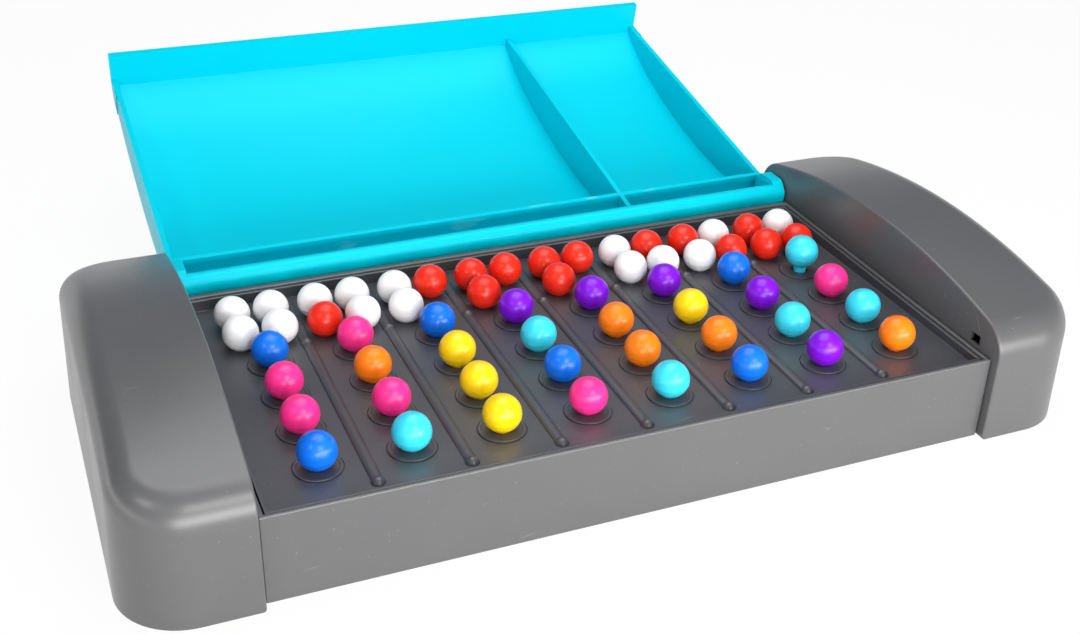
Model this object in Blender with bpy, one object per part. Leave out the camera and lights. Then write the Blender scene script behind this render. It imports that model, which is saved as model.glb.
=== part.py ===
"""A travel code-breaking game: a tray with two end caps, a peg board, a hinged lid and round-headed pegs.

Sizes are in metres, +Z is up and -Y is the player's side. The origin is on the table, under the middle
of the tray. The lid is drawn shut, in the tray's own axes, and its hinge empty then swings it open.
"""

from math import acos, asin, atan2, cos, hypot, pi, radians, sin, sqrt, tan

import bmesh
import bpy

# Clearances and overruns
FIT_GAP = 0.0003
CUT_OVERRUN = 0.001
BITE = 0.0008

# Hole pattern, and the room left round it
COLUMNS = 8
CODE_ROWS = 4
COLUMN_PITCH = 0.0188
ROW_PITCH = 0.0134
KEY_ROW_STEP = 0.0093
KEY_PITCH_ACROSS = 0.0087
KEY_PITCH_ALONG = 0.0091
SIDE_MARGIN = 0.0147
FRONT_MARGIN = 0.0148
BACK_MARGIN = 0.0125

# Pegs
BALL_RADIUS = 0.0040
STEM_RADIUS = 0.0016
STEM_REACH = 0.0050
HOLE_CLEARANCE = 0.00035
PEG_NECK_RADIUS = 0.0008
PROUD_PEG_LIFT = 0.0013

# Tray frame
RIM_HEIGHT = 0.0206
FRONT_RIM_FALL = 0.0009
FRAME_WALL = 0.0016
RIM_WALL = 0.0010
HINGE_BAY_DEPTH = 0.0112
SHELF_DROP = 0.0093
SHELF_THICKNESS = 0.0016
LEDGE_WIDTH = 0.0030
LEDGE_THICKNESS = 0.0016

# Peg board
BOARD_SINK = 0.0032
BOARD_THICKNESS = 0.0018
BOARD_WALL = 0.0008
RIM_STEP = 0.0003
DISC_RADIUS = 0.0049
DISC_HEIGHT = 0.0003
RIB_HALF_WIDTH = 0.00125
RIB_HEIGHT = 0.0007
KEY_RIB_HALF_WIDTH = 0.0014
KEY_RIB_HEIGHT = 0.0005
RIB_DOME_RADIUS = 0.0017
RIB_DOME_HEIGHT = 0.0012
RIB_SETBACK = 0.0062

# End caps
CAP_WIDTH = 0.0259
CAP_PROUD = 0.00215
CROWN_RISE = 0.01345
ARCH_RADIUS = 0.1700
ARCH_SHIFT = 0.0011
CAP_NOSE_RADIUS = 0.0080
CAP_CORNER_RADIUS = 0.0141
CAP_EDGE_RADIUS = 0.0059
CAP_DRAFT = radians(2.5)
CAP_WALL = 0.0020
LATCH_WIDTH = 0.0032
LATCH_HEIGHT = 0.0025
LATCH_SETBACK = 0.0070
LATCH_RAISE = 0.0008

# Lid
LID_THICKNESS = 0.0015
LID_SIDE_GAP = 0.0006
LID_WALL = 0.0013
CORNER_FILL = 0.0020
SHOULDER_RADIUS = 0.0600
FLANGE_OVERLAP = 0.0070
DIVIDER_COLUMNS = 2
DIVIDER_THICKNESS = 0.0012
BACK_RAIL_THICKNESS = 0.0012
RAIL_CLEARANCE = 0.0020
HINGE_RISE = 0.0007
PIN_RADIUS = 0.00175
PIN_OVERHANG = 0.0004
KNUCKLE_INSET = 0.00015
KNUCKLE_WIDTH = 0.0029
KNUCKLE_PROUD = 0.0002
KNUCKLE_FLAT = 0.0043
BEAD_RADIUS = 0.0023
BEAD_DROP = 0.0016
LID_OPEN_ANGLE = radians(168.6)

# Bottom cover and screws
COVER_THICKNESS = 0.0018
COVER_SIDE_GAP = 0.0005
SCREW_HEAD_RADIUS = 0.0025
SCREW_HEAD_HEIGHT = 0.0013
SCREW_HEAD_SINK = 0.0004
SCREW_RADIUS = 0.0013
SCREW_LENGTH = 0.0078
DRIVE_RADIUS = 0.0010
DRIVE_DEPTH = 0.0006
SEAT_WALL = 0.0012
BOSS_WALL = 0.0016
PILOT_SPARE_DEPTH = 0.0010
CAP_SCREW_INSET = 0.0127
FRAME_SCREW_INSET = 0.0065

# Facet counts and creases
BALL_SIDES = 10
BALL_RINGS = 4
DOME_STEPS = 3
HOLE_SIDES = 8
ROUND_SIDES = 12
ARCH_STEPS = 14
NOSE_STEPS = 4
CORNER_STEPS = 5
EDGE_STEPS = 4
SHOULDER_STEPS = 4
SIDE_STEPS = 8
CREASE_ANGLE = radians(35)
BALL_CREASE_ANGLE = radians(50)

# Tray lines, from the sizes above
BAY_WIDTH = (COLUMNS - 1) * COLUMN_PITCH + 2 * SIDE_MARGIN
PATTERN_DEPTH = (CODE_ROWS - 1) * ROW_PITCH + KEY_ROW_STEP + KEY_PITCH_ALONG
WELL_DEPTH = FRONT_MARGIN + PATTERN_DEPTH + BACK_MARGIN
TRAY_DEPTH = WELL_DEPTH + HINGE_BAY_DEPTH
FRONT_RIM_HEIGHT = RIM_HEIGHT - FRONT_RIM_FALL
HINGE_HEIGHT = RIM_HEIGHT + HINGE_RISE
SHELF_HEIGHT = HINGE_HEIGHT - SHELF_DROP
BOARD_HEIGHT = RIM_HEIGHT - BOARD_SINK
TRAY_FRONT = -TRAY_DEPTH / 2
TRAY_REAR = TRAY_DEPTH / 2
WELL_REAR = TRAY_FRONT + WELL_DEPTH
WELL_INNER_REAR = WELL_REAR - FRAME_WALL
FRAME_HALF = BAY_WIDTH / 2 - FIT_GAP
FRAME_INNER_HALF = FRAME_HALF - FRAME_WALL
LEDGE_HEIGHT = BOARD_HEIGHT - BOARD_THICKNESS - FIT_GAP
CODE_FRONT = TRAY_FRONT + FRONT_MARGIN
KEY_FRONT = CODE_FRONT + (CODE_ROWS - 1) * ROW_PITCH + KEY_ROW_STEP
HOLE_RADIUS = STEM_RADIUS + HOLE_CLEARANCE
BALL_SEAT = BOARD_HEIGHT + sqrt((BALL_RADIUS + FIT_GAP) ** 2 - HOLE_RADIUS**2)

# Cap lines
CAP_INNER = BAY_WIDTH / 2
CAP_OUTER = CAP_INNER + CAP_WIDTH
CAP_FRONT = TRAY_FRONT - CAP_PROUD
CAP_REAR = TRAY_REAR + CAP_PROUD
ARCH_CENTRE = RIM_HEIGHT + CROWN_RISE - ARCH_RADIUS

# Lid lines
LID_HALF = CAP_INNER - LID_SIDE_GAP
DIVIDER_PLACE = DIVIDER_COLUMNS * COLUMN_PITCH
LID_EDGE = RIM_HEIGHT + FIT_GAP
FLANGE_EDGE = LID_EDGE - FIT_GAP - FLANGE_OVERLAP
FLANGE_INNER = TRAY_FRONT - FIT_GAP
LID_REAR_RADIUS = CAP_NOSE_RADIUS - CAP_PROUD
HINGE_SETBACK = (HINGE_BAY_DEPTH + FRAME_WALL - FIT_GAP - RAIL_CLEARANCE) / 2
HINGE_Y = TRAY_REAR - HINGE_SETBACK
KNUCKLE_RADIUS = HINGE_SETBACK - KNUCKLE_INSET
BEAD_Y = TRAY_REAR - BEAD_RADIUS
BEAD_Z = HINGE_HEIGHT - BEAD_DROP
BACK_RAIL_REAR = WELL_INNER_REAR + FIT_GAP
BACK_RAIL_FRONT = BACK_RAIL_REAR - BACK_RAIL_THICKNESS

# Screw lines
SCREW_SEAT = SCREW_HEAD_SINK + SCREW_HEAD_HEIGHT + FIT_GAP
SEAT_TOP = SCREW_SEAT + SEAT_WALL
BOSS_FOOT = SEAT_TOP + FIT_GAP
WALL_FOOT = COVER_THICKNESS + FIT_GAP
BOSS_RADIUS = SCREW_RADIUS + FIT_GAP + BOSS_WALL
COUNTERBORE_RADIUS = SCREW_HEAD_RADIUS + FIT_GAP
SEAT_RADIUS = COUNTERBORE_RADIUS + SEAT_WALL
PILOT_TOP = SCREW_SEAT + SCREW_LENGTH + PILOT_SPARE_DEPTH
CAP_SCREW_X = CAP_INNER + CAP_WIDTH / 2
CAP_SCREW_Y = CAP_REAR - CAP_SCREW_INSET
FRAME_SCREW_FRONT = TRAY_FRONT + FRAME_SCREW_INSET
FRAME_SCREW_REAR = TRAY_REAR - FRAME_SCREW_INSET

# Peg colours, far row first for each column from the left
CODE_COLOURS = (
    ("blue", "pink", "pink", "blue"),
    ("pink", "orange", "pink", "cyan"),
    ("blue", "yellow", "yellow", "yellow"),
    ("purple", "cyan", "blue", "pink"),
    ("purple", "orange", "orange", "cyan"),
    ("purple", "yellow", "orange", "blue"),
    ("blue", "purple", "cyan", "purple"),
    ("cyan", "pink", "cyan", "orange"),
)
# The peg of the last column's far row stands a little out of its hole
PROUD_PEG = (COLUMNS, CODE_ROWS)

# Key pegs of each column: a colour and its holes, named by side and row. Pegs listed together are one
# piece, joined by a short neck between neighbours
KEY_GROUPS = (
    (("white", ("far_left", "far_right", "near_right", "near_left")),),
    (("white", ("far_left", "far_right", "near_right")), ("red", ("near_left",))),
    (("white", ("far_left",)), ("red", ("far_right",)), ("white", ("near_left",))),
    (("red", ("near_left", "far_left", "far_right")),),
    (("red", ("near_left", "far_left", "far_right")),),
    (("white", ("far_left", "near_left", "near_right")), ("red", ("far_right",))),
    (
        ("red", ("far_left",)),
        ("white", ("far_right",)),
        ("white", ("near_left",)),
        ("red", ("near_right",)),
    ),
    (("red", ("far_left", "near_left", "near_right")), ("white", ("far_right",))),
)

COLOURS = {
    "blue": (0.002, 0.150, 0.760),
    "pink": (0.950, 0.030, 0.260),
    "orange": (0.960, 0.205, 0.004),
    "cyan": (0.040, 0.640, 0.820),
    "yellow": (0.950, 0.760, 0.002),
    "purple": (0.205, 0.003, 0.760),
    "white": (0.850, 0.850, 0.860),
    "red": (0.820, 0.022, 0.006),
}


def clear_scene():
    for obj in list(bpy.data.objects):
        bpy.data.objects.remove(obj, do_unlink=True)


def make_material(name, colour, roughness, metallic=0.0):
    material = bpy.data.materials.new(name)
    material.use_nodes = True
    shader = material.node_tree.nodes["Principled BSDF"]
    shader.inputs["Base Color"].default_value = (*colour, 1.0)
    shader.inputs["Roughness"].default_value = roughness
    shader.inputs["Metallic"].default_value = metallic
    return material


def add_object(name, mesh, material=None, at=(0, 0, 0), parent=None):
    obj = bpy.data.objects.new(name, mesh)
    bpy.context.scene.collection.objects.link(obj)
    obj.location = at
    obj.parent = parent
    if material:
        mesh.materials.clear()
        mesh.materials.append(material)
    return obj


def mesh_of(name, bm, crease=CREASE_ANGLE):
    """A mesh from bm, facing out and shaded smooth up to the crease angle."""
    bmesh.ops.recalc_face_normals(bm, faces=bm.faces)
    mesh = bpy.data.meshes.new(name)
    bm.to_mesh(mesh)
    bm.free()
    mesh.shade_smooth()
    mesh.set_sharp_from_angle(angle=crease)
    return mesh


def add_tube(bm, rings):
    """Skins a closed tube over rings of equal length and caps both ends."""
    loops = [[bm.verts.new(point) for point in ring] for ring in rings]
    for low, high in zip(loops, loops[1:]):
        for i in range(len(low)):
            j = (i + 1) % len(low)
            bm.faces.new((low[i], low[j], high[j], high[i]))
    bm.faces.new(reversed(loops[0]))
    bm.faces.new(loops[-1])


def arc(centre, radius, start, end, steps):
    """Points from start to end angle, both included, round a centre in any plane."""
    angles = [start + (end - start) * i / steps for i in range(steps + 1)]
    return [(centre[0] + radius * cos(a), centre[1] + radius * sin(a)) for a in angles]


def circle(centre, radius, sides):
    return arc(centre, radius, pi / sides, 2 * pi + pi / sides, sides)[:-1]


def add_prism_x(bm, outline, x_from, x_to):
    """Extrudes a (y, z) outline along X."""
    add_tube(bm, [[(x, y, z) for y, z in outline] for x in (x_from, x_to)])


def add_prism_z(bm, outline, z_from, z_to):
    """Extrudes an (x, y) outline along Z."""
    add_tube(bm, [[(x, y, z) for x, y in outline] for z in (z_from, z_to)])


def add_box(bm, x_range, y_range, z_range):
    (x0, x1), (y0, y1) = x_range, y_range
    add_prism_z(bm, [(x0, y0), (x1, y0), (x1, y1), (x0, y1)], *z_range)


def add_turned(bm, profile, sides, centre=(0, 0)):
    """Turns (radius, z) points about an upright axis. A zero radius closes that end in a point."""
    rings = []
    for radius, z in profile:
        if radius > 0:
            rings.append([bm.verts.new((x, y, z)) for x, y in circle(centre, radius, sides)])
        else:
            rings.append([bm.verts.new((*centre, z))])
    for low, high in zip(rings, rings[1:]):
        for i in range(sides):
            j = (i + 1) % sides
            corners = [low[i % len(low)], low[j % len(low)], high[j % len(high)], high[i % len(high)]]
            bm.faces.new(list(dict.fromkeys(corners)))


def helper(name, bm, parent=None):
    """A solid that only adds to or cuts from another."""
    obj = add_object(name, mesh_of(name, bm), parent=parent)
    obj.hide_render = True
    obj.display_type = "WIRE"
    return obj


def combine(target, name, operation, fill, parent=None):
    """Adds a Boolean of the solid that fill(bm) draws."""
    bm = bmesh.new()
    fill(bm)
    modifier = target.modifiers.new(name, "BOOLEAN")
    modifier.operation = operation
    modifier.solver = "EXACT"
    modifier.object = helper(target.name + "_" + name, bm, parent)


def even_shading(*names):
    """Keeps flat faces looking flat beside the smooth ones on the pieces that Booleans cut."""
    for name in names:
        bpy.data.objects[name].modifiers.new("even_shading", "WEIGHTED_NORMAL").keep_sharp = True


def arch_height(y, inset=0.0):
    """Height of the crown arch at y, or of the same arch shrunk by inset."""
    return ARCH_CENTRE + sqrt((ARCH_RADIUS - inset) ** 2 - (y - ARCH_SHIFT) ** 2)


def nose_centre(y_edge, radius, inset=0.0):
    """Centre of the round that joins an upright face at y_edge to the arch."""
    y = y_edge + radius if y_edge < 0 else y_edge - radius
    return y, arch_height(y, inset + radius)


def nose_points(y_edge, radius, inset=0.0):
    """The round at one end of the arch, from the upright face up to the arch."""
    y, z = nose_centre(y_edge, radius, inset)
    upright = pi if y_edge < 0 else 0
    return arc((y, z), radius, upright, atan2(z - ARCH_CENTRE, y - ARCH_SHIFT), NOSE_STEPS)


def arch_points(y_from, y_to, inset=0.0):
    """Points of the arch between two places, both included."""
    radius = ARCH_RADIUS - inset
    start, end = (acos((y - ARCH_SHIFT) / radius) for y in (y_from, y_to))
    return arc((ARCH_SHIFT, ARCH_CENTRE), radius, start, end, ARCH_STEPS)


def crown(front, front_radius, rear, rear_radius, inset=0.0):
    """Nose, arch and nose, from the front upright face to the rear one."""
    front_nose = nose_points(front, front_radius, inset)
    rear_nose = nose_points(rear, rear_radius, inset)
    return front_nose + arch_points(front_nose[-1][0], rear_nose[-1][0], inset)[1:-1] + rear_nose[::-1]


def cap_stations(shrink):
    """Plan points of the cap's U-shaped outer wall with their outward normals and edge radii."""
    inner = CAP_INNER + (CAP_WALL if shrink else 0)
    outer = CAP_OUTER - shrink
    front, rear = CAP_FRONT + shrink, CAP_REAR - shrink
    corner = CAP_CORNER_RADIUS - shrink
    nose, edge = CAP_NOSE_RADIUS - shrink, CAP_EDGE_RADIUS - shrink
    stations = [(inner, front, 0.0, -1.0, nose)]
    for i in range(CORNER_STEPS + 1):
        turn = pi / 2 * i / CORNER_STEPS
        x, y = outer - corner + corner * sin(turn), front + corner - corner * cos(turn)
        stations.append((x, y, sin(turn), -cos(turn), nose + (edge - nose) * sin(turn) ** 2))
    straight = (rear - front) / 2 - corner
    for i in range(1, SIDE_STEPS):
        stations.append((outer, straight * (2 * i / SIDE_STEPS - 1), 1.0, 0.0, edge))
    mirrored = [(x, -y, nx, -ny, r) for x, y, nx, ny, r in stations[: CORNER_STEPS + 2]]
    return stations + mirrored[::-1]


def cap_rings(shrink, foot):
    """Rings of the cap's skin, from its foot up through the rounded edge, one point per station."""
    rings = [[] for _ in range(EDGE_STEPS + 2)]
    for x, y, nx, ny, radius in cap_stations(shrink):
        fall = asin(ny * (y - ny * radius - ARCH_SHIFT) / (ARCH_RADIUS - shrink - radius))
        last = pi / 2 - fall
        top_y = y - ny * radius * (1 - cos(last))
        centre_z = arch_height(top_y, shrink) - radius * sin(last)
        lean = tan(CAP_DRAFT) * nx
        rings[0].append((x - lean * foot, y, foot))
        for i in range(EDGE_STEPS + 1):
            turn = last * i / EDGE_STEPS
            back = radius * (1 - cos(turn))
            across = x - nx * back - lean * centre_z
            rings[i + 1].append((across, y - ny * back, centre_z + radius * sin(turn)))
    return rings


def add_cap_solid(bm, side, shrink, foot):
    """The cap's outer body, or the hollow inside it, closed by its flat inner face."""
    rings = [[(side * x, y, z) for x, y, z in ring] for ring in cap_rings(shrink, foot)]
    loops = [[bm.verts.new(point) for point in ring] for ring in rings]
    for low, high in zip(loops, loops[1:]):
        for i in range(len(low) - 1):
            bm.faces.new((low[i], low[i + 1], high[i + 1], high[i]))
    top = loops[-1]
    inner_x = top[0].co.x
    ridge = [top[0]]
    for vert in top[2:-2]:
        ridge.append(bm.verts.new((inner_x, vert.co.y, arch_height(vert.co.y, shrink))))
    ridge.append(top[-1])
    shoulder = top[1:-1]
    for i in range(len(ridge) - 1):
        bm.faces.new((ridge[i], shoulder[i], shoulder[i + 1], ridge[i + 1]))
    bm.faces.new(loops[0])
    front_edge = [loop[0] for loop in loops[:-1]]
    rear_edge = [loop[-1] for loop in loops[:-1]]
    bm.faces.new(front_edge + ridge + rear_edge[::-1])


def rim_height(y):
    """Height of the rim, which falls a little towards the front."""
    return FRONT_RIM_HEIGHT + (RIM_HEIGHT - FRONT_RIM_HEIGHT) * (y - TRAY_FRONT) / WELL_DEPTH


def board_columns():
    return [(i - (COLUMNS - 1) / 2) * COLUMN_PITCH for i in range(COLUMNS)]


def code_row(row):
    """Y of a code row, counted from 1 at the front."""
    return CODE_FRONT + (row - 1) * ROW_PITCH


def key_hole(column_x, hole):
    row, side = hole.split("_")
    x = column_x + (KEY_PITCH_ACROSS / 2 if side == "right" else -KEY_PITCH_ACROSS / 2)
    return x, KEY_FRONT + (KEY_PITCH_ALONG if row == "far" else 0)


def all_holes():
    holes = [(x, code_row(row)) for x in board_columns() for row in range(1, CODE_ROWS + 1)]
    keys = ("near_left", "near_right", "far_left", "far_right")
    return holes + [key_hole(x, hole) for x in board_columns() for hole in keys]


def lid_outline():
    """The lid's outer (y, z) outline: flange, crown, rounded back, the lip over the bead, the walls' edge."""
    inside = TRAY_REAR - LID_THICKNESS
    lip = [(TRAY_REAR, BEAD_Z), (inside, BEAD_Z), (inside, LID_EDGE)]
    flange = [(FLANGE_INNER, LID_EDGE), (FLANGE_INNER, FLANGE_EDGE), (CAP_FRONT, FLANGE_EDGE)]
    return flange + crown(CAP_FRONT, CAP_NOSE_RADIUS, TRAY_REAR, LID_REAR_RADIUS) + lip


def shoulder_points():
    """The roof's end at the flange: a crisp corner, then a curve that eases into the arch."""
    radius = ARCH_RADIUS - LID_THICKNESS
    reach = radius - CORNER_FILL
    spread = (reach**2 + radius**2 - 2 * radius * SHOULDER_RADIUS) / (2 * reach * (radius - SHOULDER_RADIUS))
    start = acos((FLANGE_INNER - ARCH_SHIFT) / reach)
    end = start - acos(spread)
    run = radius - SHOULDER_RADIUS
    y, z = ARCH_SHIFT + run * cos(end), ARCH_CENTRE + run * sin(end)
    corner_z = arch_height(FLANGE_INNER, LID_THICKNESS + CORNER_FILL)
    return arc((y, z), SHOULDER_RADIUS, atan2(corner_z - z, FLANGE_INNER - y), end, SHOULDER_STEPS)


def compartment_outline():
    """Inside of a lid compartment, from the flange to the back rail."""
    shoulder = shoulder_points()
    roof = arch_points(shoulder[-1][0], BACK_RAIL_FRONT, LID_THICKNESS)
    below = min(shoulder[0][1], LID_EDGE) - CUT_OVERRUN
    return shoulder + roof[1:] + [(BACK_RAIL_FRONT, below), (FLANGE_INNER, below)]


def channel_outline():
    """Inside of the channel between the back rail and the rounded back."""
    rear = TRAY_REAR - LID_THICKNESS
    nose = nose_points(rear, LID_REAR_RADIUS - LID_THICKNESS, LID_THICKNESS)
    roof = arch_points(BACK_RAIL_REAR, nose[-1][0], LID_THICKNESS)
    below = min(nose[0][1], LID_EDGE, BEAD_Z) - CUT_OVERRUN
    return roof + nose[::-1][1:] + [(rear, below), (BACK_RAIL_REAR, below)]


def open_lid_underside(y):
    """Height of the open lid's outer surface at y, which the tray's rear lip carries."""
    dy, dz = ARCH_SHIFT - HINGE_Y, ARCH_CENTRE - HINGE_HEIGHT
    centre_y = HINGE_Y + dy * cos(LID_OPEN_ANGLE) + dz * sin(LID_OPEN_ANGLE)
    centre_z = HINGE_HEIGHT - dy * sin(LID_OPEN_ANGLE) + dz * cos(LID_OPEN_ANGLE)
    return centre_z - sqrt(ARCH_RADIUS**2 - (y - centre_y) ** 2)


def add_boss(bm, x, y, top):
    add_prism_z(bm, circle((x, y), BOSS_RADIUS, ROUND_SIDES), BOSS_FOOT, top)


def add_pilot(bm, x, y):
    add_prism_z(bm, circle((x, y), SCREW_RADIUS + FIT_GAP, ROUND_SIDES), 0, PILOT_TOP)


def make_frame(material):
    """The tray's middle: front wall, side walls, back wall, rear shelf and lip, and the board's ledge."""
    lip = open_lid_underside(TRAY_REAR) - FIT_GAP
    outline = [
        (TRAY_FRONT, 0),
        (TRAY_REAR, 0),
        (TRAY_REAR, lip),
        (TRAY_REAR - FRAME_WALL, lip),
        (TRAY_REAR - FRAME_WALL, SHELF_HEIGHT),
        (WELL_REAR, SHELF_HEIGHT),
        (WELL_REAR, RIM_HEIGHT),
        (TRAY_FRONT, FRONT_RIM_HEIGHT),
    ]
    bm = bmesh.new()
    add_prism_x(bm, outline, -FRAME_HALF, FRAME_HALF)
    frame = add_object("base_frame", mesh_of("base_frame", bm), material)
    rim_x = (RIM_WALL - FRAME_HALF, FRAME_HALF - RIM_WALL)
    rim_y = (TRAY_FRONT + RIM_WALL, WELL_INNER_REAR)
    inner_x = (-FRAME_INNER_HALF, FRAME_INNER_HALF)
    inner_y = (TRAY_FRONT + FRAME_WALL, WELL_INNER_REAR)
    hollow_y = (TRAY_FRONT + FRAME_WALL, TRAY_REAR - FRAME_WALL)
    window_x = (-FRAME_INNER_HALF + LEDGE_WIDTH, FRAME_INNER_HALF - LEDGE_WIDTH)
    window_y = (inner_y[0] + LEDGE_WIDTH, inner_y[1] - LEDGE_WIDTH)
    under_ledge = LEDGE_HEIGHT - LEDGE_THICKNESS
    under_shelf = SHELF_HEIGHT - SHELF_THICKNESS
    overhead = RIM_HEIGHT + CUT_OVERRUN
    wide = FRAME_HALF + CUT_OVERRUN
    pockets = (
        ("board_well", rim_x, rim_y, (LEDGE_HEIGHT, overhead)),
        ("window", window_x, window_y, (-CUT_OVERRUN, overhead)),
        ("lower_hollow", inner_x, hollow_y, (-CUT_OVERRUN, under_shelf)),
        ("upper_hollow", inner_x, inner_y, (under_shelf - CUT_OVERRUN, under_ledge)),
        ("cover_passage", (-wide, wide), hollow_y, (-CUT_OVERRUN, WALL_FOOT)),
    )
    for label, *ranges in pockets:
        combine(frame, label, "DIFFERENCE", lambda bm: add_box(bm, *ranges))
    front_top = LEDGE_HEIGHT - LEDGE_THICKNESS / 2
    rear_top = SHELF_HEIGHT - SHELF_THICKNESS / 2
    combine(frame, "front_boss", "UNION", lambda bm: add_boss(bm, 0, FRAME_SCREW_FRONT, front_top))
    combine(frame, "rear_boss", "UNION", lambda bm: add_boss(bm, 0, FRAME_SCREW_REAR, rear_top))

    def pilots(bm):
        add_pilot(bm, 0, FRAME_SCREW_FRONT)
        add_pilot(bm, 0, FRAME_SCREW_REAR)

    combine(frame, "pilots", "DIFFERENCE", pilots)


def add_rib(bm, x, y_from, y_to, half_width, height):
    """A low rib with sloped sides, rooted in the board."""
    root = BOARD_HEIGHT - BOARD_THICKNESS / 2
    section = [
        (x - half_width, root),
        (x + half_width, root),
        (x + half_width, BOARD_HEIGHT),
        (x + half_width / 2, BOARD_HEIGHT + height),
        (x - half_width / 2, BOARD_HEIGHT + height),
        (x - half_width, BOARD_HEIGHT),
    ]
    add_tube(bm, [[(px, y, pz) for px, pz in section] for y in (y_from, y_to)])


def make_board(material):
    """The dark tray on the frame's ledge: ribs between columns, a low disc round each code hole."""
    half = FRAME_HALF - RIM_WALL - FIT_GAP
    front, rear = TRAY_FRONT + RIM_WALL + FIT_GAP, WELL_INNER_REAR - FIT_GAP
    under = BOARD_HEIGHT - BOARD_THICKNESS
    front_top, rear_top = rim_height(front) - RIM_STEP, rim_height(rear) - RIM_STEP
    bm = bmesh.new()
    add_prism_x(bm, [(front, under), (rear, under), (rear, rear_top), (front, front_top)], -half, half)
    board = add_object("peg_board", mesh_of("peg_board", bm), material)
    inside_x = (BOARD_WALL - half, half - BOARD_WALL)
    inside_y = (front + BOARD_WALL, rear - BOARD_WALL)
    inside_z = (BOARD_HEIGHT, RIM_HEIGHT + CUT_OVERRUN)
    combine(board, "well", "DIFFERENCE", lambda bm: add_box(bm, inside_x, inside_y, inside_z))
    gaps = [(a + b) / 2 for a, b in zip(board_columns(), board_columns()[1:])]
    rib_front = TRAY_FRONT + RIB_SETBACK
    rib_rear = (code_row(CODE_ROWS) + KEY_FRONT) / 2 + RIB_DOME_RADIUS

    def discs(bm):
        root, rise = BOARD_HEIGHT - BOARD_THICKNESS / 2, BOARD_HEIGHT + DISC_HEIGHT
        for x in board_columns():
            for row in range(1, CODE_ROWS + 1):
                add_prism_z(bm, circle((x, code_row(row)), DISC_RADIUS, ROUND_SIDES), root, rise)

    def code_ribs(bm):
        for x in gaps:
            add_rib(bm, x, rib_front, rib_rear, RIB_HALF_WIDTH, RIB_HEIGHT)

    def key_ribs(bm):
        for x in gaps:
            start, end = rib_rear - RIB_DOME_RADIUS / 2, rear - BOARD_WALL / 2
            add_rib(bm, x, start, end, KEY_RIB_HALF_WIDTH, KEY_RIB_HEIGHT)

    def rib_domes(bm):
        root = BOARD_HEIGHT - BOARD_THICKNESS / 2
        rise = BOARD_HEIGHT + RIB_DOME_HEIGHT - root
        turns = [pi / 2 * i / DOME_STEPS for i in range(DOME_STEPS)]
        side = [(RIB_DOME_RADIUS * cos(a), root + rise * sin(a)) for a in turns]
        for x in gaps:
            for y in (rib_front, rib_rear):
                add_turned(bm, [(0, root)] + side + [(0, root + rise)], HOLE_SIDES, (x, y))

    def holes(bm):
        for x, y in all_holes():
            low, high = under - CUT_OVERRUN, BOARD_HEIGHT + CUT_OVERRUN
            add_prism_z(bm, circle((x, y), HOLE_RADIUS, HOLE_SIDES), low, high)

    combine(board, "discs", "UNION", discs)
    combine(board, "code_ribs", "UNION", code_ribs)
    combine(board, "key_ribs", "UNION", key_ribs)
    combine(board, "rib_domes", "UNION", rib_domes)
    combine(board, "holes", "DIFFERENCE", holes)


def make_cap(name, side, material):
    """A hollow end cap, open below, with the lid's pin hole and latch window in its flat inner wall."""
    bm = bmesh.new()
    add_cap_solid(bm, side, 0, 0)
    cap = add_object(name, mesh_of(name, bm), material)
    combine(cap, "hollow", "DIFFERENCE", lambda bm: add_cap_solid(bm, side, CAP_WALL, -CUT_OVERRUN))
    near, far = side * (CAP_INNER - CUT_OVERRUN), side * (CAP_INNER + CAP_WALL + CUT_OVERRUN)
    reach = TRAY_REAR - FRAME_WALL
    combine(
        cap,
        "cover_passage",
        "DIFFERENCE",
        lambda bm: add_box(bm, (near, far), (-reach, reach), (-CUT_OVERRUN, WALL_FOOT)),
    )
    for label, y in (("front", -CAP_SCREW_Y), ("rear", CAP_SCREW_Y)):
        top = arch_height(y) - CAP_WALL / 2
        combine(cap, label + "_boss", "UNION", lambda bm: add_boss(bm, side * CAP_SCREW_X, y, top))
    latch_y = CAP_FRONT + LATCH_SETBACK
    latch_z = LID_EDGE + LATCH_RAISE

    def openings(bm):
        for y in (-CAP_SCREW_Y, CAP_SCREW_Y):
            add_pilot(bm, side * CAP_SCREW_X, y)
        add_prism_x(bm, circle((HINGE_Y, HINGE_HEIGHT), PIN_RADIUS + FIT_GAP, ROUND_SIDES), near, far)
        y_range = (latch_y, latch_y + LATCH_WIDTH)
        add_box(bm, (near, far), y_range, (latch_z - LATCH_HEIGHT / 2, latch_z + LATCH_HEIGHT / 2))

    combine(cap, "openings", "DIFFERENCE", openings)


def knuckle_outline():
    """A round knuckle with one flat, which lies level on top while the lid is open."""
    up = (-sin(LID_OPEN_ANGLE), cos(LID_OPEN_ANGLE))
    outline = []
    for y, z in circle((0, 0), KNUCKLE_RADIUS, 2 * ROUND_SIDES):
        over = max(0, y * up[0] + z * up[1] - KNUCKLE_FLAT)
        outline.append((HINGE_Y + y - over * up[0], HINGE_HEIGHT + z - over * up[1]))
    return outline


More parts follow.
